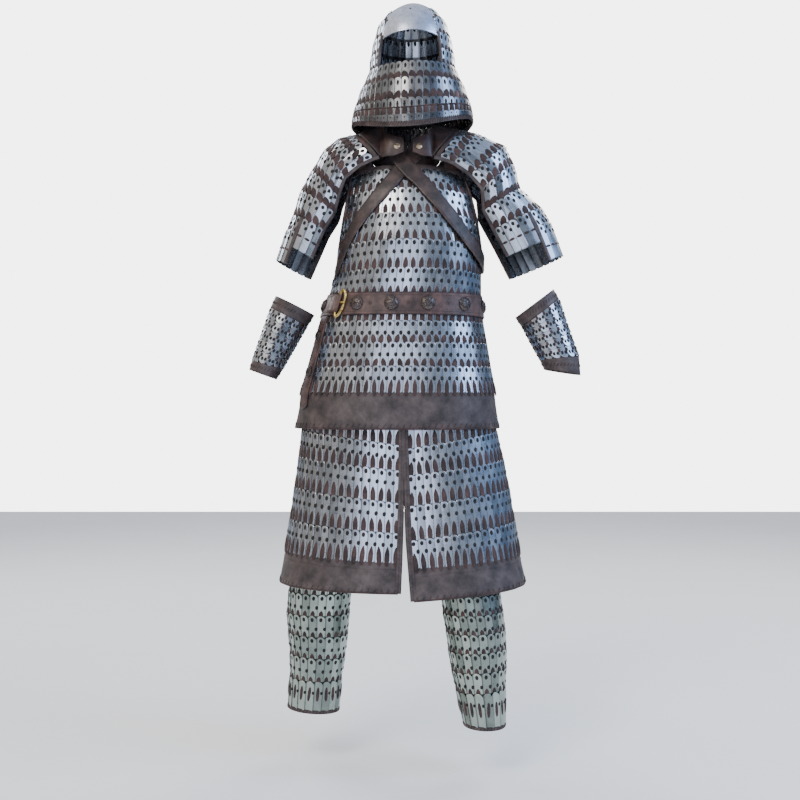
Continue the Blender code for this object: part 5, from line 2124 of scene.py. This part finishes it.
@dataclass
class Aventail:
    """Hoop of four laced rows over the lower face, neck and nape, with a whipped edge."""

    rings: tuple[HeadRing, ...] = (
        HeadRing("row_1", 1.6455, 0.1012, 0.1092, 0.1172, 0.000),
        HeadRing("row_2", 1.6050, 0.1200, 0.1250, 0.1290, 0.002),
        HeadRing("row_3", 1.5550, 0.1355, 0.1330, 0.1380, 0.010),
        HeadRing("row_4", 1.5160, 0.1415, 0.1380, 0.1420, 0.024),
        HeadRing("bound", 1.4990, 0.1425, 0.1400, 0.1430, 0.030),
        HeadRing("edge", 1.4880, 0.1430, 0.1405, 0.1435, 0.033),
    )

    def build(self) -> list[bpy.types.Object]:
        """Build the rows and the bound edge."""
        angles = np.linspace(0.0, 360.0, 128, endpoint=False)
        lines = np.array([HEAD.ring(ring, angles) for ring in self.rings])
        wall = LacedWall("aventail", lines, True, 90)
        rows = ((FACE_CUT, LaceCut(Lacing.PAIRED, length=0.026, width=0.0168, height=0.0024, above=-0.0070)),
                (FACE_CUT, LaceCut(Lacing.PAIRED, length=0.027, width=0.0170, height=0.0024, above=-0.0060)),
                (FACE_LONG_CUT, LaceCut(Lacing.DOUBLE, length=0.027, width=0.0128, height=0.0024,
                                        above=-0.0060)),
                (FACE_LAST_CUT, None))
        for row, (cut, lace) in enumerate(rows):
            wall.add_row(row, cut, lace)
        made = wall.build(FACE_STEEL)
        band = round_band(lines[4:], 128, 6)
        made.append(make_hide("aventail_bound_edge", band, HEM_LEATHER))
        thread = Pile(band.sewn(3, 0.0062, 0.0125, 0.0030, 0.0014, aslant=64.0, seed=2))
        made.append(thread.build("aventail_whipping", THONG, smooth=THONG_SMOOTH))
        return made


@dataclass(frozen=True)
class Hoop:
    """One hoop round a limb, by its two side points as seen from the front."""

    name: str
    left_x: float
    left_height: float
    right_x: float
    right_height: float
    centre_y: float
    depth: float

    def points(self, angles: np.ndarray) -> np.ndarray:
        """Give the inside points at each angle; 0 is the front."""
        left = np.array([self.left_x, self.centre_y, self.left_height + GROUND_Z])
        right = np.array([self.right_x, self.centre_y, self.right_height + GROUND_Z])
        across = (0.5 + 0.5 * np.sin(np.radians(angles)))[:, None]
        points = left * (1 - across) + right * across
        points[:, 1] -= self.depth * np.cos(np.radians(angles))
        return points


SCALE_CUT = PlateCut(0.0180, (Hole(-0.24, 0.0112, 0.0033, 0.0042), Hole(0.22, 0.0112, 0.0033, 0.0042)),
                     arch=0.0096, reach=0.0050, lift_top=0.0052, hung=True)
SHIN_CUT = PlateCut(0.0190, (Hole(0.04, 0.0094, 0.0040, 0.0054),), (Hole(0.5, 0.0310, 0.0038, 0.0052),),
                    arch=0.0100)
SHIN_LONG_CUT = PlateCut(0.0190, (), (Hole(0.5, 0.0270, 0.0032, 0.0044),), arch=0.0100, reach=0.0015,
                         lift_bottom=0.0036)


@dataclass
class LimbGuard:
    """Hoop of laced rows round a forearm or a shin, between leather bands."""

    label: str
    hoops: tuple[Hoop, ...]
    cut: PlateCut
    last_cut: PlateCut
    lace: LaceCut
    last_lace: Optional[LaceCut]
    finish: Finish
    seed: int

    def build(self) -> list[bpy.types.Object]:
        """Build the rows, the bands and their stitches."""
        angles = np.linspace(0.0, 360.0, 96, endpoint=False)
        lines = np.array([hoop.points(angles) for hoop in self.hoops])
        wall = LacedWall(self.label, lines, True, self.seed)
        last = len(lines) - 3
        for row in range(1, last + 1):
            wall.add_row(row, *((self.last_cut, self.last_lace) if row == last else (self.cut, self.lace)))
        made = wall.build(self.finish)
        for end, rows in (("top", lines[:2]), ("lower", lines[-2:])):
            band = round_band(rows, 96, self.seed + len(end))
            made.append(make_hide(f"{self.label}_{end}_band", band, HEM_LEATHER))
            thread = Pile(band.sewn(4, 0.0080, 0.0095, *WHIP_THONG, aslant=58.0, seed=self.seed),
                          *[band.edge_bar(row, 0.0013, 0.0012) for row in (0, -1)])
            made.append(thread.build(f"{self.label}_{end}_whipping", THONG, smooth=THONG_SMOOTH))
        return made


def scale_hoops(top: Hoop, first: Hoop, last: Hoop, wrist: Hoop, rows: int = 5) -> tuple[Hoop, ...]:
    """Give a bracer's hoops, with even rows of scales between its two bands."""
    return (top, *[blend(first, last, i / rows) for i in range(rows + 1)], wrist)


BRACER_LACE = LaceCut(Lacing.SMALL, length=0.0100, width=0.0062, height=0.0017, above=0.0010, across=0.5)
BRACERS = (
    LimbGuard("bracer_left", scale_hoops(
        Hoop("top", -0.3000, 1.1050, -0.2140, 1.0620, -0.045, 0.052),
        Hoop("scales", -0.3120, 1.0790, -0.2300, 1.0370, -0.047, 0.050),
        Hoop("band", -0.3550, 0.9530, -0.2880, 0.9340, -0.053, 0.041),
        Hoop("wrist", -0.3610, 0.9320, -0.3020, 0.9110, -0.054, 0.040)),
        SCALE_CUT, SCALE_CUT, BRACER_LACE, BRACER_LACE, SUIT_STEEL, 100),
    LimbGuard("bracer_right", scale_hoops(
        Hoop("top", 0.2710, 1.0570, 0.3560, 1.1210, -0.045, 0.050),
        Hoop("scales", 0.2850, 1.0360, 0.3680, 1.1000, -0.047, 0.048),
        Hoop("band", 0.3280, 0.9560, 0.4150, 0.9630, -0.053, 0.036),
        Hoop("wrist", 0.3380, 0.9340, 0.4180, 0.9200, -0.054, 0.035)),
        SCALE_CUT, SCALE_CUT, BRACER_LACE, BRACER_LACE, SUIT_STEEL, 110),
)
SHIN_LACE = LaceCut(Lacing.OVAL, length=0.018, width=0.0106, height=0.0023, above=-0.0058)
SHIN_LONG_LACE = LaceCut(Lacing.SMALL, length=0.036, width=0.0078, height=0.0022, above=0.0215)
GREAVES = (
    LimbGuard("greave_left", (
        Hoop("top", -0.2600, 0.4640, -0.1260, 0.4640, -0.030, 0.062),
        Hoop("row_1", -0.2620, 0.4540, -0.1270, 0.4540, -0.030, 0.063),
        Hoop("row_2", -0.2700, 0.4060, -0.1280, 0.4040, -0.028, 0.065),
        Hoop("row_3", -0.2750, 0.3560, -0.1310, 0.3540, -0.026, 0.066),
        Hoop("row_4", -0.2720, 0.3080, -0.1350, 0.3020, -0.024, 0.064),
        Hoop("row_5", -0.2680, 0.2580, -0.1420, 0.2480, -0.022, 0.060),
        Hoop("long", -0.2680, 0.2010, -0.1500, 0.1940, -0.020, 0.056),
        Hoop("bound", -0.2730, 0.1330, -0.1560, 0.1240, -0.020, 0.053),
        Hoop("edge", -0.2740, 0.1260, -0.1560, 0.1170, -0.020, 0.053)),
        SHIN_CUT, SHIN_LONG_CUT, SHIN_LACE, SHIN_LONG_LACE, SHIN_STEEL, 120),
    LimbGuard("greave_right", (
        Hoop("top", 0.0880, 0.4640, 0.2160, 0.4640, -0.090, 0.066),
        Hoop("row_1", 0.0890, 0.4540, 0.2170, 0.4540, -0.092, 0.067),
        Hoop("row_2", 0.0920, 0.4110, 0.2230, 0.4130, -0.098, 0.070),
        Hoop("row_3", 0.0960, 0.3680, 0.2290, 0.3720, -0.104, 0.072),
        Hoop("row_4", 0.1030, 0.3250, 0.2340, 0.3310, -0.110, 0.070),
        Hoop("row_5", 0.1080, 0.2830, 0.2360, 0.2890, -0.115, 0.067),
        Hoop("row_6", 0.1150, 0.2390, 0.2360, 0.2450, -0.120, 0.063),
        Hoop("long", 0.1250, 0.1930, 0.2330, 0.1990, -0.125, 0.058),
        Hoop("bound", 0.1410, 0.1210, 0.2330, 0.1190, -0.130, 0.054),
        Hoop("edge", 0.1420, 0.1140, 0.2330, 0.1120, -0.130, 0.054)),
        SHIN_CUT, SHIN_LONG_CUT, SHIN_LACE, SHIN_LONG_LACE, SHIN_STEEL, 130),
)
LEFT_THIGH = ThighGuard(Side.LEFT, (
    ThighLine("top", 0.004, 0.240, 0.838, 0.856, 0.158, 0.143),
    ThighLine("row_2", 0.004, 0.2395, 0.756, 0.790, 0.163, 0.151),
    ThighLine("row_3", 0.004, 0.247, 0.699, 0.727, 0.169, 0.158),
    ThighLine("row_4", 0.005, 0.257, 0.626, 0.654, 0.176, 0.166),
    ThighLine("row_5", 0.007, 0.268, 0.558, 0.579, 0.182, 0.173),
    ThighLine("hem", 0.009, 0.279, 0.492, 0.504, 0.188, 0.180),
    ThighLine("edge", 0.012, 0.290, 0.424, 0.430, 0.194, 0.186)))
RIGHT_THIGH = ThighGuard(Side.RIGHT, (
    ThighLine("top", 0.004, 0.213, 0.838, 0.856, 0.158, 0.143),
    ThighLine("row_2", 0.006, 0.222, 0.748, 0.786, 0.164, 0.150),
    ThighLine("row_3", 0.008, 0.238, 0.688, 0.719, 0.171, 0.155),
    ThighLine("row_4", 0.010, 0.252, 0.619, 0.650, 0.179, 0.161),
    ThighLine("row_5", 0.013, 0.265, 0.542, 0.574, 0.187, 0.166),
    ThighLine("hem", 0.018, 0.277, 0.480, 0.497, 0.195, 0.171),
    ThighLine("edge", 0.024, 0.288, 0.408, 0.427, 0.202, 0.176)))
LEFT_ARM = (
    ArmLine("edge", 0.056, 1.4270, 0.112, 1.4960, 0.000, 0.098, 0.098, 8.0),
    ArmLine("row_1", 0.068, 1.4240, 0.125, 1.4930, 0.000, 0.098, 0.098, 8.0),
    ArmLine("row_2", 0.104, 1.4080, 0.153, 1.4860, 0.000, 0.094, 0.094, 12.0),
    ArmLine("row_3", 0.138, 1.3820, 0.185, 1.4620, 0.000, 0.088, 0.088, 20.0),
    ArmLine("row_4", 0.154, 1.3400, 0.217, 1.4110, 0.000, 0.082, 0.084, 28.0),
    ArmLine("row_5", 0.163, 1.3040, 0.243, 1.3640, 0.000, 0.079, 0.081, 32.0),
    ArmLine("split", 0.188, 1.2640, 0.262, 1.3040, -0.002, 0.074, 0.078, 30.0),
    ArmLine("lappet", 0.203, 1.2280, 0.276, 1.2700, -0.004, 0.072, 0.076, 28.0),
    ArmLine("end", 0.217, 1.1960, 0.289, 1.2380, -0.006, 0.070, 0.074, 26.0),
    ArmLine("tip", 0.232, 1.1600, 0.302, 1.1960, -0.008, 0.068, 0.072, 24.0),
)
RIGHT_ARM = (
    ArmLine("edge", 0.073, 1.4270, 0.130, 1.5080, 0.000, 0.098, 0.098, 8.0),
    ArmLine("row_1", 0.084, 1.4250, 0.141, 1.5060, 0.000, 0.098, 0.098, 8.0),
    ArmLine("row_2", 0.118, 1.4150, 0.176, 1.4980, 0.000, 0.094, 0.094, 12.0),
    ArmLine("row_3", 0.158, 1.3890, 0.243, 1.4700, 0.000, 0.090, 0.090, 20.0),
    ArmLine("row_4", 0.188, 1.3580, 0.264, 1.4280, 0.000, 0.084, 0.086, 28.0),
    ArmLine("row_5", 0.192, 1.3080, 0.281, 1.3660, 0.000, 0.082, 0.084, 32.0),
    ArmLine("split", 0.215, 1.2640, 0.332, 1.3210, -0.002, 0.080, 0.082, 38.0),
    ArmLine("lappet", 0.232, 1.2320, 0.352, 1.2870, -0.004, 0.078, 0.080, 36.0),
    ArmLine("end", 0.248, 1.2000, 0.368, 1.2520, -0.006, 0.076, 0.078, 34.0),
    ArmLine("tip", 0.268, 1.1600, 0.383, 1.2060, -0.008, 0.074, 0.076, 32.0),
)
OVER_STRAP = CrossStrap("strap_over", (
    (-9.0, 1.438), (-3.0, 1.412), (6.0, 1.371), (18.0, 1.324), (31.5, 1.279), (46.5, 1.236), (62.0, 1.208),
    (78.0, 1.190), (95.0, 1.184), (112.0, 1.196), (128.0, 1.226), (142.0, 1.268), (156.0, 1.316),
    (170.0, 1.364), (183.0, 1.403), (187.0, 1.415)), lift=0.0094)
UNDER_STRAP = CrossStrap("strap_under", (
    (4.5, 1.437), (-2.0, 1.412), (-11.5, 1.370), (-26.5, 1.323), (-41.5, 1.279), (-55.0, 1.238),
    (-65.0, 1.198), (-78.0, 1.162), (-95.0, 1.150), (-112.0, 1.166), (-128.0, 1.200), (-142.0, 1.246),
    (-156.0, 1.300), (-170.0, 1.352), (-183.0, 1.397), (-187.0, 1.409)), lift=0.0052)


@dataclass
class Studio:
    """Pale floor, soft lights and the camera that matches the photo."""

    camera_place: tuple[float, float, float] = (-0.007, -2.75, -0.615)
    lens: float = 36.0 * 413.0 * 2.75 / 800.0
    floor_size: float = 12.0

    def build(self) -> None:
        """Set up the floor, the world, the lights and the camera."""
        mesh = bpy.data.meshes.new("floor")
        half = self.floor_size / 2
        mesh.from_pydata([(-half, -half, GROUND_Z), (half, -half, GROUND_Z), (half, half, GROUND_Z),
                          (-half, half, GROUND_Z)], [], [(0, 1, 2, 3)])
        mesh.materials.append(FLOOR.material())
        floor = bpy.data.objects.new("floor", mesh)
        bpy.context.scene.collection.objects.link(floor)
        self.sky()
        self.lamp("key_left", (-1.7, -3.0, 2.3), 1.6, 85.0, "FFF5EA")
        self.lamp("sky_right", (3.0, -1.2, 1.2), 2.2, 95.0, "BCD6FF")
        self.lamp("front_low", (-0.6, -3.6, -0.7), 2.0, 26.0, "DCE6FF")
        self.lamp("back_left", (-2.2, 2.6, 1.6), 1.8, 60.0, "F4F7FF")
        self.lamp("back_right", (2.0, 2.8, 1.8), 1.8, 60.0, "FFF8F0")
        camera = bpy.data.objects.new("camera", bpy.data.cameras.new("camera"))
        camera.location = self.camera_place
        camera.rotation_euler = (math.pi / 2, 0.0, 0.0)
        camera.data.sensor_width = 36.0
        camera.data.lens = self.lens
        bpy.context.scene.collection.objects.link(camera)
        bpy.context.scene.camera = camera

    def sky(self) -> None:
        """Give the world a pale backdrop and a soft light, cooler on the right and brighter above."""
        world = bpy.data.worlds.new("studio")
        world.use_nodes = True
        tree = world.node_tree
        toward = add_node(tree, "ShaderNodeTexCoord", take="Generated")
        parts = add_node(tree, "ShaderNodeSeparateXYZ", {"Vector": toward}).node.outputs
        turn = add_node(tree, "ShaderNodeMapRange", {"Value": parts["X"], "From Min": -1.0, "From Max": 1.0})
        shade = ramp(tree, turn, (0.0, "FFF3E4"), (0.45, "E4E8EC"), (1.0, "8FB4E6"))
        rise = add_node(tree, "ShaderNodeMapRange", {"Value": parts["Z"], "From Min": -0.15, "From Max": 0.75,
                                                     "To Min": 0.30, "To Max": 1.15})
        seen = add_node(tree, "ShaderNodeLightPath", take="Is Camera Ray")
        set_inputs(tree, tree.nodes["Background"], {
            "Color": add_node(tree, "ShaderNodeMix", {0: seen, 6: shade, 7: linear("F7F8F9")}, take=2,
                              data_type="RGBA"),
            "Strength": add_node(tree, "ShaderNodeMix", {0: seen, 2: rise, 3: 5.5})})
        bpy.context.scene.world = world

    def lamp(self, name: str, place: tuple[float, float, float], size: float, power: float,
             shade: str) -> None:
        """Add one soft lamp that points at the suit.

        Args:
            name: Its name.
            place: Where it stands.
            size: Width of its face.
            power: Its power in watts.
            shade: Hex colour of its light.
        """
        light = bpy.data.lights.new(name, "AREA")
        light.size = size
        light.energy = power
        light.color = linear(shade)[:3]
        item = bpy.data.objects.new(name, light)
        item.location = place
        aim = Vector((0.0, 0.0, -0.6)) - Vector(place)
        item.rotation_euler = aim.to_track_quat("-Z", "Y").to_euler()
        bpy.context.scene.collection.objects.link(item)


def main() -> None:
    """Build the whole suit and the studio round it."""
    logging.basicConfig(level=logging.INFO, format="%(name)s: %(message)s")
    steps = [
        Cuirass(),
        ShoulderStrap(Side.LEFT, 0.1005, 0.0921),
        ShoulderStrap(Side.RIGHT, 0.1064, 0.1009),
        UNDER_STRAP,
        OVER_STRAP,
        Belt(),
        LEFT_THIGH,
        RIGHT_THIGH,
        ShoulderGuard(Side.LEFT, LEFT_ARM),
        ShoulderGuard(Side.RIGHT, RIGHT_ARM),
        Collar(Side.LEFT, LEFT_ARM),
        Collar(Side.RIGHT, RIGHT_ARM),
        Helmet(),
        Aventail(),
        *BRACERS,
        *GREAVES,
    ]
    total = 0
    for step in steps:
        made = step.build()
        count = sum(len(item.data.polygons) for item in made)
        total += count
        LOG.info("%s: %d pieces, %d triangles", type(step).__name__, len(made), count)
    LOG.info("all pieces: %d triangles", total)
    Studio().build()
    bpy.context.view_layer.update()


if __name__ == "__main__":
    main()
